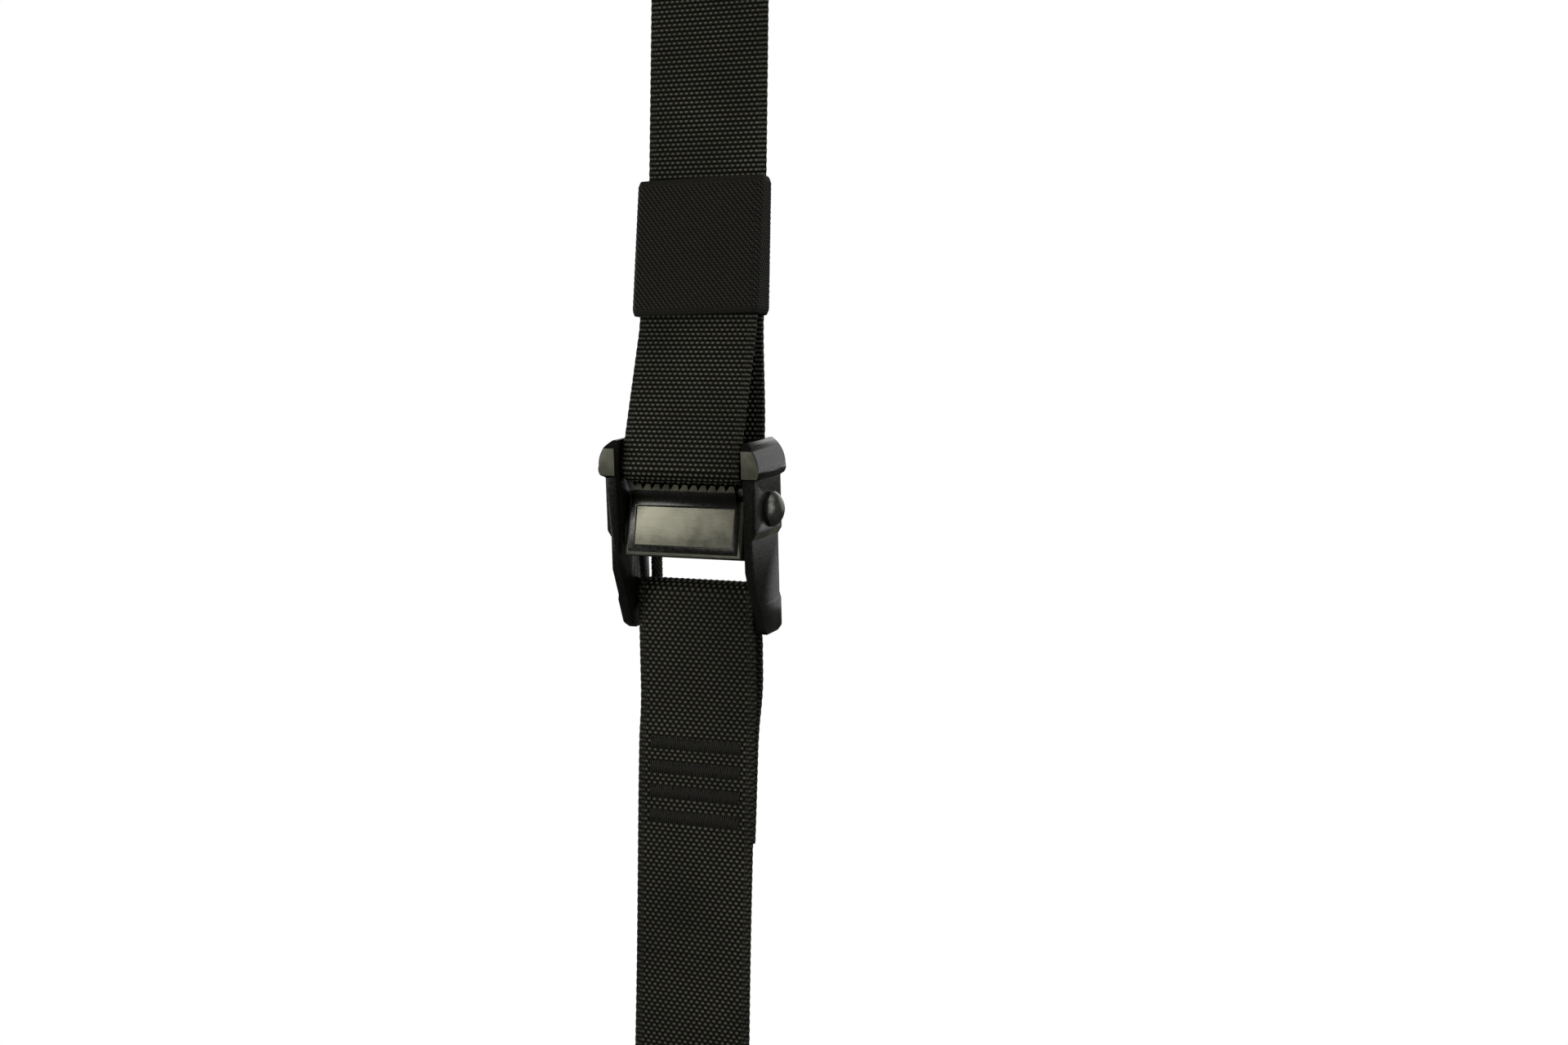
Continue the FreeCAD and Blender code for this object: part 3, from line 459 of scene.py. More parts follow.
# --- paths of webbing in the (y, z) plane: tangent lines between bends (y, z, radius, turn) ---
# Turn is 1 where the path turns left round a bend and -1 where it turns right.
def route(bends, step):
    """Even stations along the path: (y, z) of the middle, its left normal, and the length run so far."""
    places, normals = [], []

    def leg(a, b):
        offset = b[3] * b[2] - a[3] * a[2]
        dy, dz = b[0] - a[0], b[1] - a[1]
        angle = math.atan2(dz, dy) - math.asin(offset / math.hypot(dy, dz))
        normal = np.array((-math.sin(angle), math.cos(angle)))
        return (np.array(a[:2]) - a[3] * a[2] * normal, np.array(b[:2]) - b[3] * b[2] * normal, normal)

    legs = [leg(a, b) for a, b in zip(bends, bends[1:])]
    for k, (start, end, normal) in enumerate(legs):
        count = max(2, round(np.linalg.norm(end - start) / 0.2))
        for share in np.linspace(0, 1, count):
            places.append(start + share * (end - start))
            normals.append(normal)
        if k + 1 < len(legs):
            y, z, radius, turn = bends[k + 1]
            following = legs[k + 1][2]
            sweep = math.atan2(normal[0] * following[1] - normal[1] * following[0], normal @ following)
            if turn * sweep < -1e-6:
                sweep += turn * 2 * math.pi
            steps = max(2, round(abs(sweep) * radius / 0.2))
            for share in np.linspace(0, 1, steps)[1:-1]:
                c, s = math.cos(share * sweep), math.sin(share * sweep)
                side = np.array((normal[0] * c - normal[1] * s, normal[0] * s + normal[1] * c))
                places.append(np.array((y, z)) - turn * radius * side)
                normals.append(side)
    places, normals = np.array(places), np.array(normals)
    run = np.concatenate([[0], np.cumsum(np.linalg.norm(np.diff(places, axis=0), axis=1))])
    at = np.arange(0, run[-1], step)
    even = [np.stack([np.interp(at, run, values[:, k]) for k in range(2)], axis=1)
            for values in (places, normals)]
    even[1] /= np.linalg.norm(even[1], axis=1)[:, None]
    return even[0], even[1], at


def on_strap(y, z, radius):
    """A bend on the buckle, with the webbing's offset, in the part's frame."""
    c, s = math.cos(BUCKLE_PITCH), math.sin(BUCKLE_PITCH)
    return (y * c - z * s + AXLE.y, y * s + z * c + AXLE.z, radius + WEB_OFFSET, -1)


def load_bends():
    """Fold end, upper eye, down to the bridge, round it, and up the front to the tail's end."""
    fold_end = -EYE_NECK - TACK_START - (TACK_ROWS - 1) * TACK_PITCH - TACK_END
    tail_y = FRONT_Y - WEB_LAYER
    bend = NECK_RADIUS
    return [
        (BACK_Y, fold_end, 0.0, 1),
        (BACK_Y + bend, -EYE_NECK, bend, -1),
        (0.0, 0.0, EYE_RADIUS, 1),
        (FRONT_Y - bend, -EYE_NECK, bend, -1),
        on_strap(*BRIDGE_BACK_FOOT),
        on_strap(*BRIDGE_FRONT_FOOT),
        on_strap(*BRIDGE_FRONT_HEAD),
        (FRONT_Y - TAIL_STAND_OFF - bend, KEEPER_FOOT_Z, bend, 1),
        (tail_y - bend, KEEPER_HEAD_Z - 2 * TAIL_END_INSET, bend, 1),
        (tail_y, KEEPER_HEAD_Z - TAIL_END_INSET, 0.0, 1),
    ]


def anchor_bends():
    """Fold end, round the buckle's bar, down the front layer, round the lower eye, fold end."""
    meet = AXLE.z - ANCHOR_TACK_DROP + TACK_START
    fold_end = AXLE.z - ANCHOR_TACK_DROP - (TACK_ROWS - 1) * TACK_PITCH - TACK_END
    neck = LOWER_EYE_Z + EYE_NECK
    bend = NECK_RADIUS
    return [
        (BACK_Y, fold_end, 0.0, 1),
        (BACK_Y + bend, meet, bend, -1),
        (0.0, BAR_Z, BAR_RADIUS + WEB_OFFSET, 1),
        (FRONT_Y - bend, meet, bend, -1),
        (FRONT_Y - bend, neck, bend, -1),
        (0.0, LOWER_EYE_Z, EYE_RADIUS, 1),
        (BACK_Y + bend, neck, bend, -1),
        (BACK_Y, neck + TACK_START + (TACK_ROWS - 1) * TACK_PITCH + TACK_END, 0.0, 1),
    ]


def tack_levels():
    """The middle heights of every group's rows."""
    rows = np.arange(TACK_ROWS) * TACK_PITCH
    return {
        "upper_eye_tacks": -EYE_NECK - TACK_START - rows,
        "buckle_loop_tacks": AXLE.z - ANCHOR_TACK_DROP - rows,
        "lower_eye_tacks": LOWER_EYE_Z + EYE_NECK + TACK_START + rows,
    }


# --- woven webbing -----------------------------------------------------------------------
def weave_height(tree, weave, warp, pick):
    """The weave's height, from -1 in the gaps to 1 on the crowns, and the wave of its picks on its own.

    The knitted edges slant and stand up less than the body.
    """
    split = add(tree, SPLIT, (weave,)).outputs
    ends = add(tree, MATH, (split["X"], warp), operation="DIVIDE")
    end_turns = add(tree, MATH, (ends, math.pi), operation="MULTIPLY")
    across = add(tree, MATH, (end_turns,), operation="COSINE")
    picks = add(tree, MATH, (split["Y"], pick), operation="DIVIDE")
    pick_turns = add(tree, MATH, (picks, math.pi), operation="MULTIPLY")
    along = add(tree, MATH, (pick_turns,), operation="COSINE")
    body = add(tree, MATH, (across, along), operation="MULTIPLY")
    inwards = add(tree, MATH, (split["X"],), operation="ABSOLUTE")
    slanted = add(tree, MATH, (inwards, math.pi, pick_turns), operation="MULTIPLY_ADD")
    loops = add(tree, MATH, (slanted,), operation="COSINE")
    knit = add(tree, MATH, (loops, KNIT_RELIEF), operation="MULTIPLY")
    return add(tree, MIX, {0: split["Z"], 2: body, 3: knit}, data_type="FLOAT"), along


def weave_relief_tree():
    """Raises the crowns of the weave and flattens them where a tack draws the webbing in."""
    tree, given = new_tree("weave relief", {"Half Repeat": "Float", "Pick": "Float", "Relief": "Float",
                                            "Tack Sink": "Float", "Material": "Material"})
    weave = add(tree, NAMED, {"Name": "weave"}, data_type="FLOAT_VECTOR")
    calm = add(tree, NAMED, {"Name": "calm"}, data_type="FLOAT")
    height, _ = weave_height(tree, weave, given["Half Repeat"], given["Pick"])
    rise = add(tree, MATH, (height, given["Relief"]), operation="MULTIPLY")
    lift = add(tree, MATH, (rise, 0.5 * MM), operation="MULTIPLY")
    free = add(tree, MATH, (1.0, calm), operation="SUBTRACT")
    drawn = add(tree, MATH, (calm, given["Tack Sink"]), operation="MULTIPLY")
    sink = add(tree, MATH, (drawn, MM), operation="MULTIPLY")
    raised = add(tree, MATH, (lift, free), operation="MULTIPLY")
    offset = add(tree, MATH, (raised, sink), operation="SUBTRACT")
    return end_relief(tree, given, offset)


def web_section(warp):
    """The webbing's outline: (across, offset along the normal, share of the knitted edge), counter-clockwise."""
    reach = WEB_WIDTH / 2 - EDGE_REACH
    count = 2 * round(reach / warp * 2)
    flat = np.linspace(reach, -reach, count + 1)
    half = WEB_THICK / 2
    bulge = np.radians((90 - 36, 90 - 72, -18, -54))
    right = np.stack([reach + EDGE_REACH * np.cos(bulge), half * np.sin(bulge)], axis=1)[::-1]
    face = np.stack([flat, np.full(count + 1, half)], axis=1)
    outline = np.concatenate([face, right[::-1] * (-1, 1), face[::-1] * (1, -1), right])
    knit = smooth(np.abs(outline[:, 0]), WEB_WIDTH / 2 - SELVEDGE - 0.4, WEB_WIDTH / 2 - SELVEDGE + 0.2)
    return outline, knit, count


def webbing_piece(name, stations, section, warp, pick, shape, tacks, relief, material):
    """One closed length of webbing along some of a path's stations."""
    places, normals, run = stations
    outline, knit, count = section
    rows, columns = len(run), len(outline)
    x = np.tile(outline[:, 0], (rows, 1))
    y = places[:, :1] + normals[:, :1] * outline[:, 1]
    z = places[:, 1:] + normals[:, 1:] * outline[:, 1]
    calm = np.zeros_like(x)
    inside = 1 - smooth(np.abs(x), TACK_WIDTH / 2, TACK_WIDTH / 2 + 0.5)
    for level in tacks:
        beyond = smooth(np.abs(z - level), TACK_HEIGHT / 2 - 0.3, TACK_HEIGHT / 2 + 0.3)
        calm = np.maximum(calm, inside * (1 - beyond))
    calm *= np.abs(places[:, :1]) < WEB_LAYER
    weave = np.stack([x, np.tile(run[:, None], (1, columns)), np.tile(knit, (rows, 1))], axis=-1)
    points = np.stack(shape(x, y, z, places[:, :1]), axis=-1)

    faces = grid_faces(rows, columns)
    last = (rows - 1) * columns
    edge = (columns - 2 * (count + 1)) // 2
    back = count + 1 + edge
    for base, flip in ((0, False), (last, True)):
        cap = [(k, k + 1, back + count - k - 1, back + count - k) for k in range(count)]
        cap += [tuple(range(count, back + 1)), (*range(back + count, columns), 0)]
        faces += [tuple(base + k for k in (face[::-1] if flip else face)) for face in cap]
    piece = new_piece(name, points.reshape(-1, 3), faces, weave=weave.reshape(-1, 3), calm=calm.ravel())
    grow(piece, relief, {"Half Repeat": warp, "Pick": pick, "Relief": WEAVE_RELIEF, "Tack Sink": TACK_SINK,
                         "Material": material})
    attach(piece, "buckle")
    return piece


def hang(x, y, z, depth):
    """Slow, small departures of the load strap from flat and straight, and the lever's teeth pressing into it."""
    lean = LEAN * smooth(-z, *LEAN_DROP) * smooth(depth, -3.0, -1.2)
    ripple = 0.1 * np.sin(z / 23.0 + x / 14.0) * (z > -160)
    up, out = z - AXLE.z, y - AXLE.y
    height = up * math.cos(BUCKLE_PITCH) - out * math.sin(BUCKLE_PITCH)
    behind = out * math.cos(BUCKLE_PITCH) + up * math.sin(BUCKLE_PITCH)
    underside = 1 - smooth(height, WEB_UNDER_BRIDGE - 0.6, WEB_UNDER_BRIDGE - 0.2)
    past_teeth = smooth(behind, TOOTH_BACK_Y - 1, TOOTH_BACK_Y)
    over_teeth = smooth(behind, TOOTH_FRONT_Y, TOOTH_FRONT_Y + 1) * (1 - past_teeth)
    from_notch = np.abs((x / TOOTH_PITCH) % 1.0 - 0.5) * TOOTH_PITCH
    press = np.cos(np.clip(from_notch / 0.95, 0, 1) * math.pi / 2) ** 2 * (np.abs(x) < 17.4)
    return x + 0.12 * np.sin(z / 31.0) + lean, y + ripple, z - WEB_PRESS * press * underside * over_teeth


def loop_hang(x, y, z, depth):
    """The anchor strap sways a little, is gathered by its tacks, and gives way to the cord at the loop's back."""
    near = np.exp(-((z - AXLE.z + PINCH_DROP) / PINCH_REACH) ** 2) * smooth(depth, 0.5, 2.0)
    width = 1 - PINCH * near
    below = np.clip(AXLE.z - 40.0 - z, 0, None)
    sway = SWAY * smooth(below, 15.0, 32.0) * (1 - smooth(below, 120.0, 190.0))
    askew = ASKEW * smooth(depth, 0.3, 0.8) * smooth(below, 0.0, 15.0) * np.clip(1 - below / 60.0, 0, 1)
    ripple = 0.22 * np.sin(z / 17.0 + 1.0) * (x / 19.0) * smooth(below, 5.0, 30.0)
    curl = 0.5 * near * (np.abs(x) / 19.0) ** 4
    return x * width - sway + askew, y + ripple + curl, z


def cut_lengths(stations, *cuts):
    """The stations split at those lengths run, with each cut's station in both pieces."""
    marks = [0] + [int(np.searchsorted(stations[2], cut)) for cut in cuts] + [len(stations[2]) - 1]
    return [tuple(values[a:b + 1] for values in stations) for a, b in zip(marks, marks[1:])]


def load_webbing(relief, material):
    warp, pick = LOAD_WEAVE
    stations = route(load_bends(), pick / 3)
    section = web_section(warp)
    tacks = tack_levels()["upper_eye_tacks"]
    total = stations[2][-1]
    lengths = cut_lengths(stations, total * 0.34, total * 0.67)
    names = ("load_strap_eye", "load_strap_run", "load_strap_tail")
    pieces = [webbing_piece(name, length, section, warp, pick, hang, tacks, relief, material)
              for name, length in zip(names, lengths)]
    for piece in pieces:
        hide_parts("load_strap")


def anchor_webbing(relief, material):
    warp, pick = ANCHOR_WEAVE
    stations = route(anchor_bends(), pick / 3)
    section = web_section(warp)
    levels = tack_levels()
    tacks = np.concatenate([levels["buckle_loop_tacks"], levels["lower_eye_tacks"]])
    total = stations[2][-1]
    lengths = cut_lengths(stations, total * 0.5)
    pieces = [webbing_piece(name, length, section, warp, pick, loop_hang, tacks, relief, material)
              for name, length in zip(("anchor_strap_loop", "anchor_strap_eye"), lengths)]
    for piece in pieces:
        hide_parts("anchor_strap")


# --- stitches ----------------------------------------------------------------------------
def thread_tree():
    """A bowed length of thread on each point, turned as that point says."""
    tree, given = new_tree("stitches", {"Length": "Float", "Bow": "Float", "Radius": "Float",
                                        "Material": "Material"})
    half = add(tree, MATH, (given["Length"], 0.5 * MM), operation="MULTIPLY")
    under = add(tree, MATH, (half, -1.0), operation="MULTIPLY")
    bow = add(tree, MATH, (given["Bow"], -2 * MM), operation="MULTIPLY")
    radius = add(tree, MATH, (given["Radius"], MM), operation="MULTIPLY")
    low = add(tree, COMBINE, {"Z": under})
    high = add(tree, COMBINE, {"Z": half})
    middle = add(tree, COMBINE, {"Y": bow})
    arch = add(tree, "GeometryNodeCurveQuadraticBezier", {
        "Resolution": 5, "Start": low, "Middle": middle, "End": high})
    ring = add(tree, "GeometryNodeCurvePrimitiveCircle", {"Resolution": 6, "Radius": radius})
    thread = add(tree, "GeometryNodeCurveToMesh", {"Curve": arch, "Profile Curve": ring, "Fill Caps": True})
    turn = add(tree, NAMED, {"Name": "turn"}, data_type="FLOAT_VECTOR")
    euler = add(tree, "FunctionNodeEulerToRotation", (turn,))
    laid = add(tree, "GeometryNodeInstanceOnPoints", {
        "Points": given["Geometry"], "Instance": thread, "Rotation": euler})
    end_tree(tree, laid, given["Material"])
    return tree


def stitches(name, body, node, spots, turns, length, bow, tree, material):
    """A group of threads at those spots, as one piece."""
    piece = new_piece(name, spots, turn=turns)
    grow(piece, tree, {"Length": length, "Bow": bow, "Radius": THREAD_RADIUS, "Material": material})
    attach(piece, body)
    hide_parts(node)


def bar_tacks(tree, material):
    """Dense zigzag rows of thread on the front and back of two sewn layers."""
    face = WEB_LAYER / 2 + WEB_THICK / 2 - TACK_SINK + THREAD_RADIUS * 0.3
    across = np.arange(-TACK_WIDTH / 2, TACK_WIDTH / 2, THREAD_PITCH)
    for node, levels in tack_levels().items():
        spots, turns = [], []
        for side in (-1, 1):
            for level in levels:
                slant = math.atan2(THREAD_PITCH, TACK_HEIGHT) * np.where(np.arange(len(across)) % 2, 1, -1)
                slant = slant + 0.05 + rng.normal(0, 0.02, len(across))
                x = across + rng.normal(0, 0.03, len(across))
                z = level + rng.normal(0, 0.1, len(across))
                y = np.full(len(across), side * face)
                x, y, z = (hang if node == "upper_eye_tacks" else loop_hang)(x, y, z, y * 0)
                spots.append(np.stack([x, y, z], axis=1))
                turns.append(np.stack([x * 0, slant, np.full(len(x), math.pi if side > 0 else 0.0)], axis=1))
        name = node.replace("tacks", "stitches")
        stitches(name, "buckle", node, np.concatenate(spots), np.concatenate(turns), TACK_HEIGHT, 0.18,
                 tree, material)


# --- elastic keeper ----------------------------------------------------------------------
def keeper_profile(z, grow_by):
    """One level ring of the sleeve, outwards by grow_by from its inside: points, and the length run round it."""
    share = (z - KEEPER_FOOT_Z) / (KEEPER_HEAD_Z - KEEPER_FOOT_Z)
    front = KEEPER_FOOT_FRONT + (KEEPER_HEAD_FRONT - KEEPER_FOOT_FRONT) * share - grow_by
    back = KEEPER_BACK + grow_by
    half = KEEPER_HALF + grow_by
    radius = KEEPER_CORNER + grow_by
    corners = ((half - radius, front + radius, -90), (half - radius, back - radius, 0),
               (radius - half, back - radius, 90), (radius - half, front + radius, 180))
    ring = []
    for (x, y, first), (nx, ny, _) in zip(corners, corners[1:] + corners[:1]):
        arc = np.radians(first + np.linspace(0, 90, 9))
        ring.append(np.stack([x + radius * np.cos(arc), y + radius * np.sin(arc)], axis=1))
        flat = abs(nx - x) > 1
        steps = np.linspace(0, 1, 170 if flat else 24)[1:-1, None]
        after = np.radians(first + 90)
        out = radius * np.array((math.cos(after), math.sin(after)))
        ring.append(np.array((x, y)) + steps * np.array((nx - x, ny - y)) + out)
    ring = np.concatenate(ring)
    closed = np.concatenate([ring, ring[:1]])
    return ring, np.concatenate([[0], np.cumsum(np.linalg.norm(np.diff(closed, axis=0), axis=1))])[:-1]


def pocket_bulge(x, z):
    """How far the back stands out over the sewn ends of the tether."""
    up = z - KEEPER_FOOT_Z
    return POCKET_DEPTH * (1 - smooth(np.abs(x), *POCKET_SIDES)) * (1 - smooth(up, *POCKET_TOP))


def keeper_tilt(x, y, z):
    """The sleeve sits a little askew: its front edges rise towards +X."""
    return z + 0.5 * (x / KEEPER_HALF) * smooth(-y, -2.0, 2.0)


def twill_tree():
    """Raises the diagonal ribs of the elastic and the picks along them, and leaves its hems smooth."""
    tree, given = new_tree("twill relief", {"Half Rib": "Float", "Relief": "Float", "Material": "Material"})
    weave = add(tree, NAMED, {"Name": "weave"}, data_type="FLOAT_VECTOR")
    height = twill_height(tree, weave, given["Half Rib"])
    rise = add(tree, MATH, (height, given["Relief"]), operation="MULTIPLY")
    lift = add(tree, MATH, (rise, 0.5 * MM), operation="MULTIPLY")
    return end_relief(tree, given, lift)


def twill_height(tree, weave, rib):
    """Ribs that fall to the right, broken into picks, and nothing on the hems."""
    split = add(tree, SPLIT, (weave,)).outputs
    scale = add(tree, MATH, (math.pi / math.sqrt(2), rib), operation="DIVIDE")
    total = add(tree, MATH, (split["X"], split["Y"]), operation="ADD")
    difference = add(tree, MATH, (split["X"], split["Y"]), operation="SUBTRACT")
    fall = add(tree, MATH, (total, scale), operation="MULTIPLY")
    rise = add(tree, MATH, (difference, scale), operation="MULTIPLY")
    rib_wave = add(tree, MATH, (fall,), operation="COSINE")
    pick_wave = add(tree, MATH, (rise,), operation="COSINE")
    picks = add(tree, MATH, (pick_wave, 0.5, 0.5), operation="MULTIPLY_ADD")
    ribs = add(tree, MATH, (rib_wave, picks), operation="MULTIPLY")
    body = add(tree, MATH, (1.0, split["Z"]), operation="SUBTRACT")
    return add(tree, MATH, (ribs, body), operation="MULTIPLY")


def elastic_keeper(relief, material):
    """A sleeve of twill elastic with rolled hems, pulled out at its back by the tether's sewn ends."""
    height = KEEPER_HEAD_Z - KEEPER_FOOT_Z
    half = ELASTIC_THICK / 2
    over = [(half + half * math.cos(a), half * math.sin(a)) for a in np.linspace(0, math.pi, 7)[1:-1]]
    rows = [(ELASTIC_THICK, up) for up in np.linspace(half, height - half, 168)]
    rows += [(out, height - half + rise) for out, rise in over]
    rows += [(0.0, up) for up in np.linspace(height - half, half, 20)]
    rows += [(out, half - rise) for out, rise in reversed(over)]
    points, weave = [], []
    for out, up in rows:
        z = KEEPER_FOOT_Z + up
        end = 1 - smooth(np.array([min(up, height - up)]), 0.0, 1.8)[0]
        ring, run = keeper_profile(z, out * (1 - 0.45 * end))
        x, y = ring[:, 0], ring[:, 1]
        y = y + pocket_bulge(x, z) * smooth(y, -0.6, 0.2)
        y = y - KEEPER_BOW * (1 - (x / KEEPER_HALF) ** 2).clip(0) * smooth(-y, 3.0, 5.0)
        hem = 1 - smooth(np.array([min(up, height - up)]), ELASTIC_HEM - 0.4, ELASTIC_HEM + 0.2)[0]
        hem = max(hem, 1.0 - smooth(np.array([out]), 0.5 * ELASTIC_THICK, ELASTIC_THICK)[0])
        points.append(np.stack([x, y, keeper_tilt(x, y, np.full(len(x), z))], axis=1))
        weave.append(np.stack([run, np.full(len(x), up), np.full(len(x), hem)], axis=1))
    points, weave = np.concatenate(points), np.concatenate(weave)
    faces = grid_faces(len(rows), len(points) // len(rows), wrap_rows=True)
    piece = new_piece("keeper_sleeve", points, faces, weave=weave)
    grow(piece, relief, {"Half Rib": ELASTIC_RIB, "Relief": 0.24, "Material": material})
    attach(piece, "keeper")
    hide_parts("elastic_keeper")


def keeper_stitches(tree, material):
    """The tangled patch that holds the tether's ends, and the row that closes the elastic's lap."""
    face = KEEPER_BACK + ELASTIC_THICK
    count = PATCH_THREADS
    x = rng.uniform(-PATCH_HALF, PATCH_HALF, count)
    z = KEEPER_FOOT_Z + PATCH_RISE + rng.normal(0, 1.3, count) * (1 - (x / 12.0) ** 2)
    y = face + pocket_bulge(x, z) - 0.02
    ahead = (pocket_bulge(x + 0.2, z) - pocket_bulge(x - 0.2, z)) / 0.4
    turns = np.stack([x * 0, math.pi / 2 + rng.normal(0, 0.45, count), math.pi + np.arctan(ahead)], axis=1)
    spots = np.stack([x, y, z], axis=1)
    stitches("tether_patch", "keeper", "tether_tack", spots, turns, 2.2, 0.16, tree, material)

    z = np.arange(KEEPER_FOOT_Z + 2.2, KEEPER_HEAD_Z - 2.0, 1.0)
    x = np.full(len(z), LAP_X)
    slant = np.where(np.arange(len(z)) % 2, 0.95, -0.95)
    turns = np.stack([x * 0, slant, np.full(len(z), math.pi)], axis=1)
    spots = np.stack([x, np.full(len(z), face + 0.02), z], axis=1)
    stitches("lap_zigzag", "keeper", "keeper_lap_stitches", spots, turns, 1.8, 0.14, tree, material)


# --- castings and metal parts ------------------------------------------------------------
def merged_copy(node, name, materials, whole_faces):
    """A CAD node's mesh with its loose triangles merged, and into whole flat faces where asked."""
    shell = bmesh.new()
    shell.from_mesh(frame["nodes"][node].data)
    bmesh.ops.remove_doubles(shell, verts=shell.verts, dist=WELD * MM)
    if whole_faces:
        bmesh.ops.dissolve_limit(shell, angle_limit=FLAT_WITHIN, verts=shell.verts, edges=shell.edges)
    mesh = bpy.data.meshes.new(name)
    shell.to_mesh(mesh)
    shell.free()
    for material in materials:
        mesh.materials.append(material)
    mesh.polygons.foreach_set("use_smooth", [True] * len(mesh.polygons))
    mesh.polygons.foreach_set("material_index", [0] * len(mesh.polygons))
    piece = bpy.data.objects.new(name, mesh)
    bpy.context.scene.collection.objects.link(piece)
    return piece


def finished_copy(node, name, body, round_by, materials):
    """A CAD node's copy with its sharp edges rounded. The last of its materials goes on those edges."""
    piece = merged_copy(node, name, materials, True)
    bevel = piece.modifiers.new("round", "BEVEL")
    bevel.width = round_by * MM
    bevel.segments = 2
    bevel.limit_method = "ANGLE"
    bevel.angle_limit = SHARP_FROM
    bevel.material = len(materials) - 1
    bevel.harden_normals = True
    keep_evaluated(piece)
    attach(piece, body)
    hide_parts(node)
    return piece


def paint_faces(piece, index, origin, turn, chosen):
    """Gives a piece's other material to the faces that chosen picks by centre and normal, seen in turned axes."""
    back = turn.inverted()
    for face in piece.data.polygons:
        if chosen(back @ (face.center / MM - origin), back @ face.normal):
            face.material_index = index


def on_chamfer(centre, normal):
    """The bevelled rim of the lever's panel at its sides and foot, seen in the pad's axes, which takes a painted
    highlight.
    """
    return 0.0 <= centre.y <= CHAMFER_DEPTH and 0.6 < -normal.y < 0.8 and centre.z < CHAMFER_TOP


def on_tooth(centre, normal):
    """The fronts of the front row of teeth, which take the lighter coat as a painted highlight."""
    return centre.y < TOOTH_FRONT_Y + TOOTH_ROW and centre.z > TOOTH_FOOT_Z and -normal.y > 0.3


def on_highlight_face(centre, normal):
    """The shoulders' fronts and the casting's two ledges, which take a lighter coat: a painted highlight where the
    lamps catch them.
    """
    outside = abs(centre.x) > HALF_GAP
    shoulder = centre.z > SHOULDER_Z - 0.5 and -normal.y > 0.9
    ledge = LEDGE_Z - LEDGE_RUN < centre.z < LEDGE_Z and -normal.z > 0.3
    return outside and (shoulder or ledge)


def torsion_spring(material):
    """The spring that winds up between the axle and the lever's rib, as a plain merged copy of its part."""
    piece = merged_copy("torsion_spring", "lever_spring", [material], False)
    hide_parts("torsion_spring")
    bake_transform(piece)


# --- materials ---------------------------------------------------------------------------
def woven_material(name, warp, pick, gap_shade_tint, crown_highlight_tint, sharpness, dash):
    """Solution-dyed polyester webbing, near black, with a low sheen. The colour carries a painted highlight on the
    filament crowns, as short dashes, and painted shade in the near-black gaps between them.
    """
    material, tree, place = new_material(name)
    weave = add(tree, "ShaderNodeAttribute", attribute_name="weave").outputs["Vector"]
    height, along = weave_height(tree, weave, warp, pick)
    positive = add(tree, MATH, (height, 0.5, 0.5), operation="MULTIPLY_ADD")
    crown_highlight_mask = add(tree, MATH, (positive, sharpness), operation="POWER")
    size = add(tree, MATH, (along,), operation="ABSOLUTE")
    short = add(tree, MATH, (size, dash), operation="POWER")
    highlight_dashes = add(tree, MATH, (crown_highlight_mask, short), operation="MULTIPLY")

    # Filaments run with the warp, about a tenth of a millimetre across, and are drawn twice that.
    stretch = add(tree, VECTOR, (weave, (5.0, 0.9, 1.0)), operation="MULTIPLY")
    fibres = add(tree, NOISE, {"Vector": stretch, "Scale": 1.0, "Detail": 2.0})
    patches = add(tree, NOISE, {"Vector": place, "Scale": 1 / (26.0 * MM)})
    worn = add(tree, RANGE, (patches, 0.3, 0.7, 0.6, 1.0))
    fine = add(tree, RANGE, (fibres, 0.32, 0.68, 0.45, 1.0))
    lit = add(tree, MATH, (highlight_dashes, fine), operation="MULTIPLY")
    shade = add(tree, MATH, (lit, worn), operation="MULTIPLY")
    # Painted highlight on the crowns, painted shade in the gaps; the fibres and patches vary it at random.
    colour = add(tree, MIX, {0: shade, 6: tint(gap_shade_tint), 7: tint(crown_highlight_tint)}, data_type="RGBA")
    body = add(tree, MATH, (height, 0.5), operation="MULTIPLY")
    relief = add(tree, MATH, (fibres, 0.3, body), operation="MULTIPLY_ADD")
    bump = add(tree, BUMP, {"Height": relief, "Distance": 0.00022, "Strength": 0.75})
    end_material(tree, Base_Color=colour, Normal=bump, Roughness=0.65, Specular_IOR_Level=0.1)
    return material


def elastic_material():
    """Covered rubber elastic with a polyester twill face, matt black. The colour carries a painted highlight on
    the crowns along its ribs and painted shade between them.
    """
    material, tree, place = new_material("twill elastic")
    weave = add(tree, "ShaderNodeAttribute", attribute_name="weave").outputs["Vector"]
    height = twill_height(tree, weave, ELASTIC_RIB)
    positive = add(tree, MATH, (height, 0.5, 0.5), operation="MULTIPLY_ADD")
    crown_highlight_mask = add(tree, MATH, (positive, 2.2), operation="POWER")
    fibres = add(tree, NOISE, {"Vector": place, "Scale": 1 / (0.35 * MM)})
    fine = add(tree, RANGE, (fibres, 0.3, 0.7, 0.4, 1.0))
    shade = add(tree, MATH, (crown_highlight_mask, fine), operation="MULTIPLY")
    # Painted shade between the ribs, painted highlight on their crowns; the fibres vary it at random.
    colour = add(tree, MIX, {0: shade, 6: tint("#090908"), 7: tint("#605e57")}, data_type="RGBA")
    relief = add(tree, MATH, (fibres, 0.4, height), operation="MULTIPLY_ADD")
    bump = add(tree, BUMP, {"Height": relief, "Distance": 0.00016, "Strength": 0.7})
    end_material(tree, Base_Color=colour, Normal=bump, Roughness=0.7, Specular_IOR_Level=0.1)
    return material


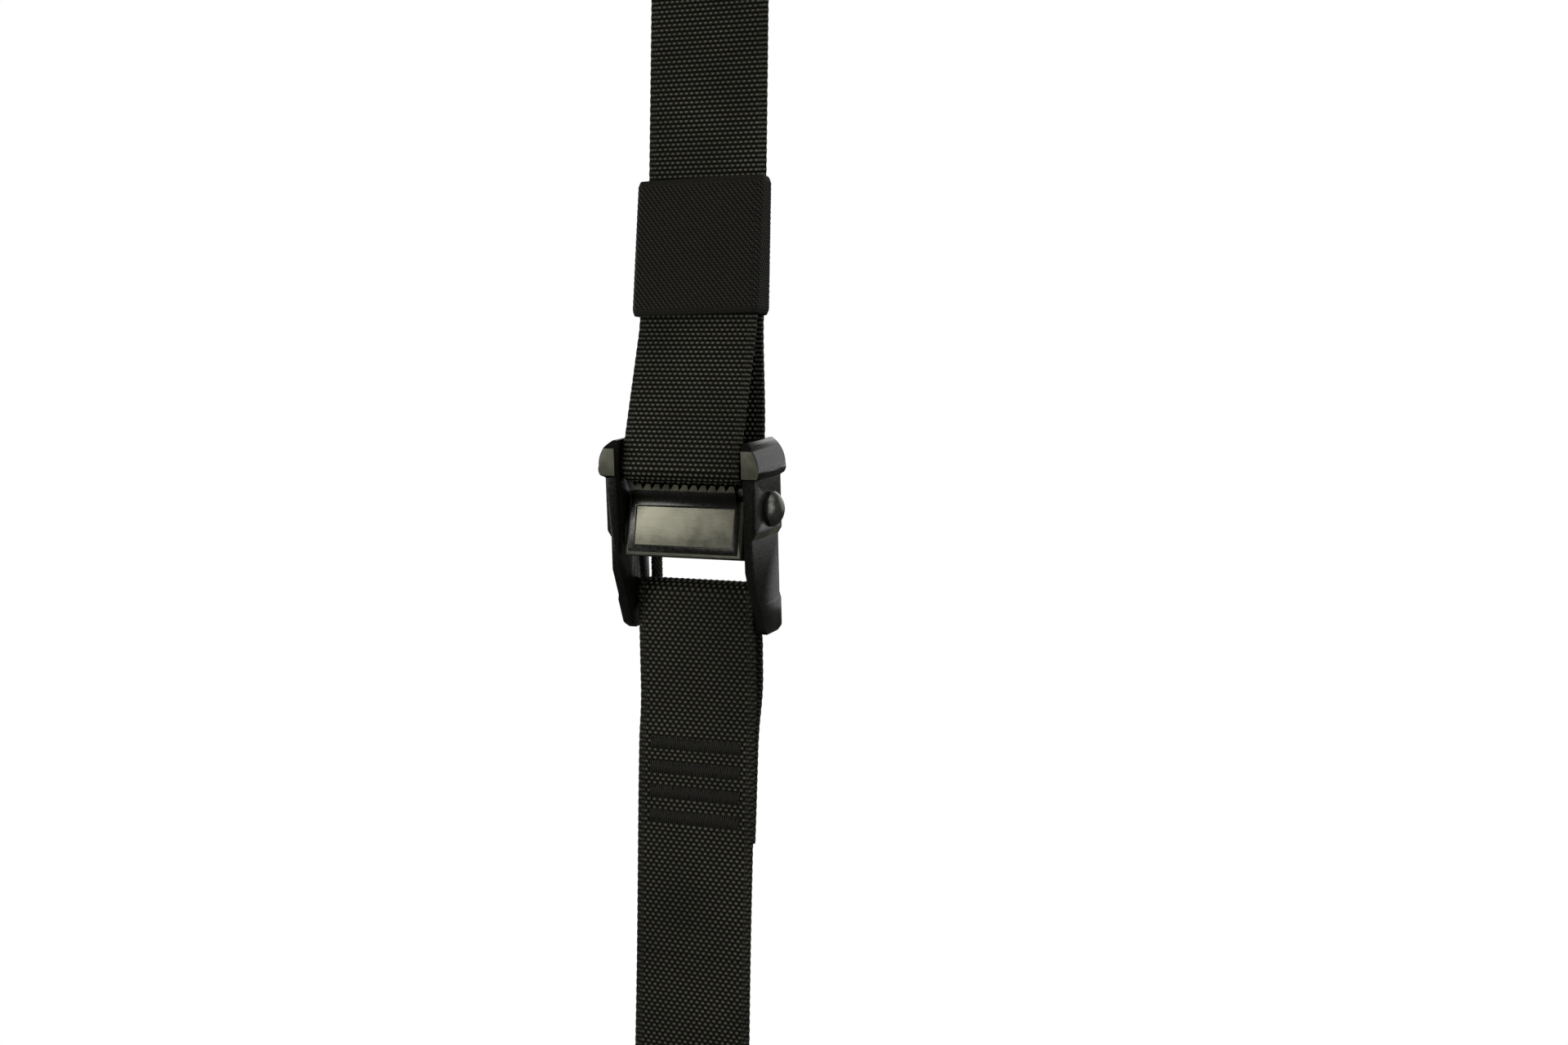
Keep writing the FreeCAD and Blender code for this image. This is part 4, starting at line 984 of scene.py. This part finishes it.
def cord_material():
    """Braided polyester accessory cord: flat strands of fine filament, near black, with a soft gloss on their
    crowns that is painted into the colour as a sheen.
    """
    material, tree, place = new_material("braided polyester")
    strand = add(tree, "ShaderNodeAttribute", attribute_name="strand").outputs["Vector"]
    split = add(tree, SPLIT, (strand,)).outputs
    # About nine filaments show across each strand.
    turns = add(tree, MATH, (split["X"], 2 * math.pi * 9), operation="MULTIPLY")
    rows = add(tree, MATH, (turns,), operation="SINE")
    cloud = add(tree, NOISE, {"Vector": place, "Scale": 1 / (0.9 * MM)})
    patch = add(tree, RANGE, (cloud, 0.35, 0.65, 0.25, 1.0))
    filament_sheen = add(tree, MATH, (rows, 0.3, 0.7), operation="MULTIPLY_ADD")
    shade = add(tree, MATH, (filament_sheen, patch), operation="MULTIPLY")
    # The lighter stripes along the filaments are a painted sheen; the cloud varies them at random.
    colour = add(tree, MIX, {0: shade, 6: tint("#171612"), 7: tint("#67655a")}, data_type="RGBA")
    bump = add(tree, BUMP, {"Height": rows, "Distance": 0.00005, "Strength": 0.6})
    end_material(tree, Base_Color=colour, Normal=bump, Roughness=0.45, Specular_IOR_Level=0.5)
    return material


def thread_material():
    """Bonded polyester sewing thread: three twisted plies with a waxy sheen."""
    material, tree, place = new_material("bonded thread")
    squeeze = add(tree, "ShaderNodeMapping", {"Vector": place, "Rotation": (0, 0.6, 0), "Scale": (1, 1, 3)})
    twist = add(tree, NOISE, {"Vector": squeeze, "Scale": 1 / (0.5 * MM)})
    plies = add(tree, RANGE, (twist, 0.3, 0.7, 0.0, 1.0))
    colour = add(tree, MIX, {0: plies, 6: tint("#161613"), 7: tint("#34332e")}, data_type="RGBA")
    bump = add(tree, BUMP, {"Height": twist, "Distance": 0.00008, "Strength": 0.6})
    end_material(tree, Base_Color=colour, Normal=bump, Roughness=0.5, Specular_IOR_Level=0.22)
    return material


def powder_coat(name, low, high, roughness):
    """Black powder coat on die-cast zinc: a fine orange peel with a satin gloss, and faint rubbing. Given light
    colours, it is a painted highlight.
    """
    material, tree, place = new_material(name)
    wear_and_highlight = add(tree, NOISE, {"Vector": place, "Scale": 1 / (7.0 * MM), "Detail": 4.0})
    share = add(tree, RANGE, (wear_and_highlight, 0.35, 0.7, 0.0, 1.0))
    colour = add(tree, MIX, {0: share, 6: tint(low), 7: tint(high)}, data_type="RGBA")
    grain = add(tree, NOISE, {"Vector": place, "Scale": 1 / (0.9 * MM), "Detail": 3.0})
    gloss = add(tree, RANGE, (grain, 0.3, 0.7, roughness - 0.05, roughness + 0.08))
    bump = add(tree, BUMP, {"Height": grain, "Distance": 0.00003, "Strength": 0.5})
    end_material(tree, Base_Color=colour, Roughness=gloss, Normal=bump, IOR=1.5)
    return material


def worn_edge_and_highlight():
    """Powder coat rubbed thin over the casting's edges, so that the grey zinc shows through in places, and light
    enough to stand as a painted highlight along every sharp edge.
    """
    material, tree, place = new_material("worn coated edge with painted highlight")
    broad = add(tree, NOISE, {"Vector": place, "Scale": 1 / (5.0 * MM), "Detail": 5.0})
    wear_and_highlight = add(tree, RANGE, (broad, 0.42, 0.6, 0.0, 1.0))
    tight = add(tree, NOISE, {"Vector": place, "Scale": 1 / (0.7 * MM), "Detail": 3.0})
    scratch = add(tree, RANGE, (tight, 0.4, 0.6, 0.3, 1.0))
    edge_rub_and_highlight = add(tree, MATH, (wear_and_highlight, scratch), operation="MULTIPLY")
    bare = add(tree, MATH, (edge_rub_and_highlight, 0.7), operation="MULTIPLY")
    colour = add(tree, MIX, {0: edge_rub_and_highlight, 6: tint("#26261f"), 7: tint("#b4b3a2")}, data_type="RGBA")
    end_material(tree, Base_Color=colour, Metallic=bare, IOR=1.5, Roughness=0.34)
    return material


def cut_zinc_and_highlight():
    """A diamond-cut chamfer: bare die-cast zinc, smooth, dulled a little by handling. Its brightness is partly the
    metal's own and partly a painted highlight, given only to the rim's lit sides and foot.
    """
    material, tree, place = new_material("cut zinc with painted highlight")
    dull = add(tree, NOISE, {"Vector": place, "Scale": 1 / (4.0 * MM), "Detail": 3.0})
    colour = add(tree, MIX, {0: dull, 6: tint("#8f8f82"), 7: tint("#b9b8a8")}, data_type="RGBA")
    gloss = add(tree, RANGE, (dull, 0.3, 0.7, 0.4, 0.55))
    end_material(tree, Base_Color=colour, Metallic=0.5, Roughness=gloss)
    return material


def brushed_badge():
    """A stamped steel plate, lightly brushed along its length under the smudges and specks of handling."""
    material, tree, place = new_material("brushed steel plate")
    squeeze = add(tree, "ShaderNodeMapping", {"Vector": place, "Scale": (0.06, 1, 1)})
    lines = add(tree, NOISE, {"Vector": squeeze, "Scale": 1 / (0.35 * MM), "Detail": 4.0})
    smudge = add(tree, NOISE, {"Vector": place, "Scale": 1 / (6.0 * MM), "Detail": 4.0})
    dots = add(tree, NOISE, {"Vector": place, "Scale": 1 / (0.8 * MM)})
    speck = add(tree, RANGE, (dots, 0.66, 0.72, 0.0, 0.35))
    blotch = add(tree, MATH, (smudge, 0.78), operation="MULTIPLY")
    shade = add(tree, MATH, (lines, 0.22, blotch), operation="MULTIPLY_ADD")
    even = add(tree, RANGE, (shade, 0.36, 0.64, 0.0, 1.0))
    clean = add(tree, MATH, (even, speck), operation="SUBTRACT")
    colour = add(tree, MIX, {0: clean, 6: tint("#85857a"), 7: tint("#b1b0a1")}, data_type="RGBA")
    gloss = add(tree, RANGE, (smudge, 0.3, 0.7, 0.46, 0.6))
    bump = add(tree, BUMP, {"Height": lines, "Distance": 0.00001, "Strength": 0.3})
    end_material(tree, Base_Color=colour, Metallic=1.0, Roughness=gloss, Normal=bump)
    return material


def dark_steel(name, low, high, roughness, grain):
    """Oiled black oxide on steel: a deep black with a soft metallic gloss."""
    material, tree, place = new_material(name)
    mottle = add(tree, NOISE, {"Vector": place, "Scale": 1 / (grain * MM), "Detail": 3.0})
    share = add(tree, RANGE, (mottle, 0.35, 0.65, 0.0, 1.0))
    colour = add(tree, MIX, {0: share, 6: tint(low), 7: tint(high)}, data_type="RGBA")
    bump = add(tree, BUMP, {"Height": mottle, "Distance": 0.00001, "Strength": 0.4})
    end_material(tree, Base_Color=colour, Metallic=0.75, Roughness=roughness, Normal=bump)
    return material


# --- making ------------------------------------------------------------------------------
set_camera()
set_studio()
braided_cord(cord_material())

relief = weave_relief_tree()
# The two colours given are the painted shade in the gaps and the painted highlight on the crowns.
load_webbing(relief, woven_material("load webbing", *LOAD_WEAVE, "#050504", "#a3a293", 1.1, 4.5))
anchor_webbing(relief, woven_material("anchor webbing", *ANCHOR_WEAVE, "#080807", "#9e9d8e", 1.8, 1.8))

thread, threads = thread_material(), thread_tree()
bar_tacks(threads, thread)
elastic_keeper(twill_tree(), elastic_material())
keeper_stitches(threads, thread)

coat = powder_coat("satin powder coat", "#0d0d0b", "#161613", 0.24)
# Lighter coat as a painted highlight on the shoulders' fronts, the ledges and the fronts of the teeth.
wear_and_highlight = powder_coat("painted highlight powder coat", "#4a4a3f", "#72725f", 0.45)
# The rounded edges of both castings: worn coat and a painted highlight.
edge = worn_edge_and_highlight()
pitched = Matrix.Rotation(BUCKLE_PITCH, 3, "X")
casting = finished_copy("buckle_frame", "frame_casting", "buckle", 0.3, [coat, wear_and_highlight, edge])
# Painted highlight on the shoulders' fronts and the ledges.
paint_faces(casting, 1, AXLE, pitched, on_highlight_face)
lever = finished_copy("cam_lever", "lever_casting", "lever", 0.12, [coat, cut_zinc_and_highlight(), wear_and_highlight, edge])
pad_middle = AXLE + pitched @ Vector((0, *PAD_CENTRE))
# Painted highlight on the panel's rim at its sides and foot; the unlit top keeps its coat.
paint_faces(lever, 1, pad_middle, pitched @ Matrix.Rotation(-PAD_TILT, 3, "X"), on_chamfer)
# Painted highlight on the fronts of the teeth.
paint_faces(lever, 2, AXLE, pitched, on_tooth)
finished_copy("badge_plate", "badge", "lever", 0.08, [brushed_badge()])
oxide = dark_steel("black oxide", "#4c4c49", "#6d6d68", 0.3, 2.0)
finished_copy("axle_rivet", "axle", "buckle", 0.12, [oxide])
torsion_spring(dark_steel("drawn spring wire", "#1a1a18", "#34342f", 0.34, 0.8))
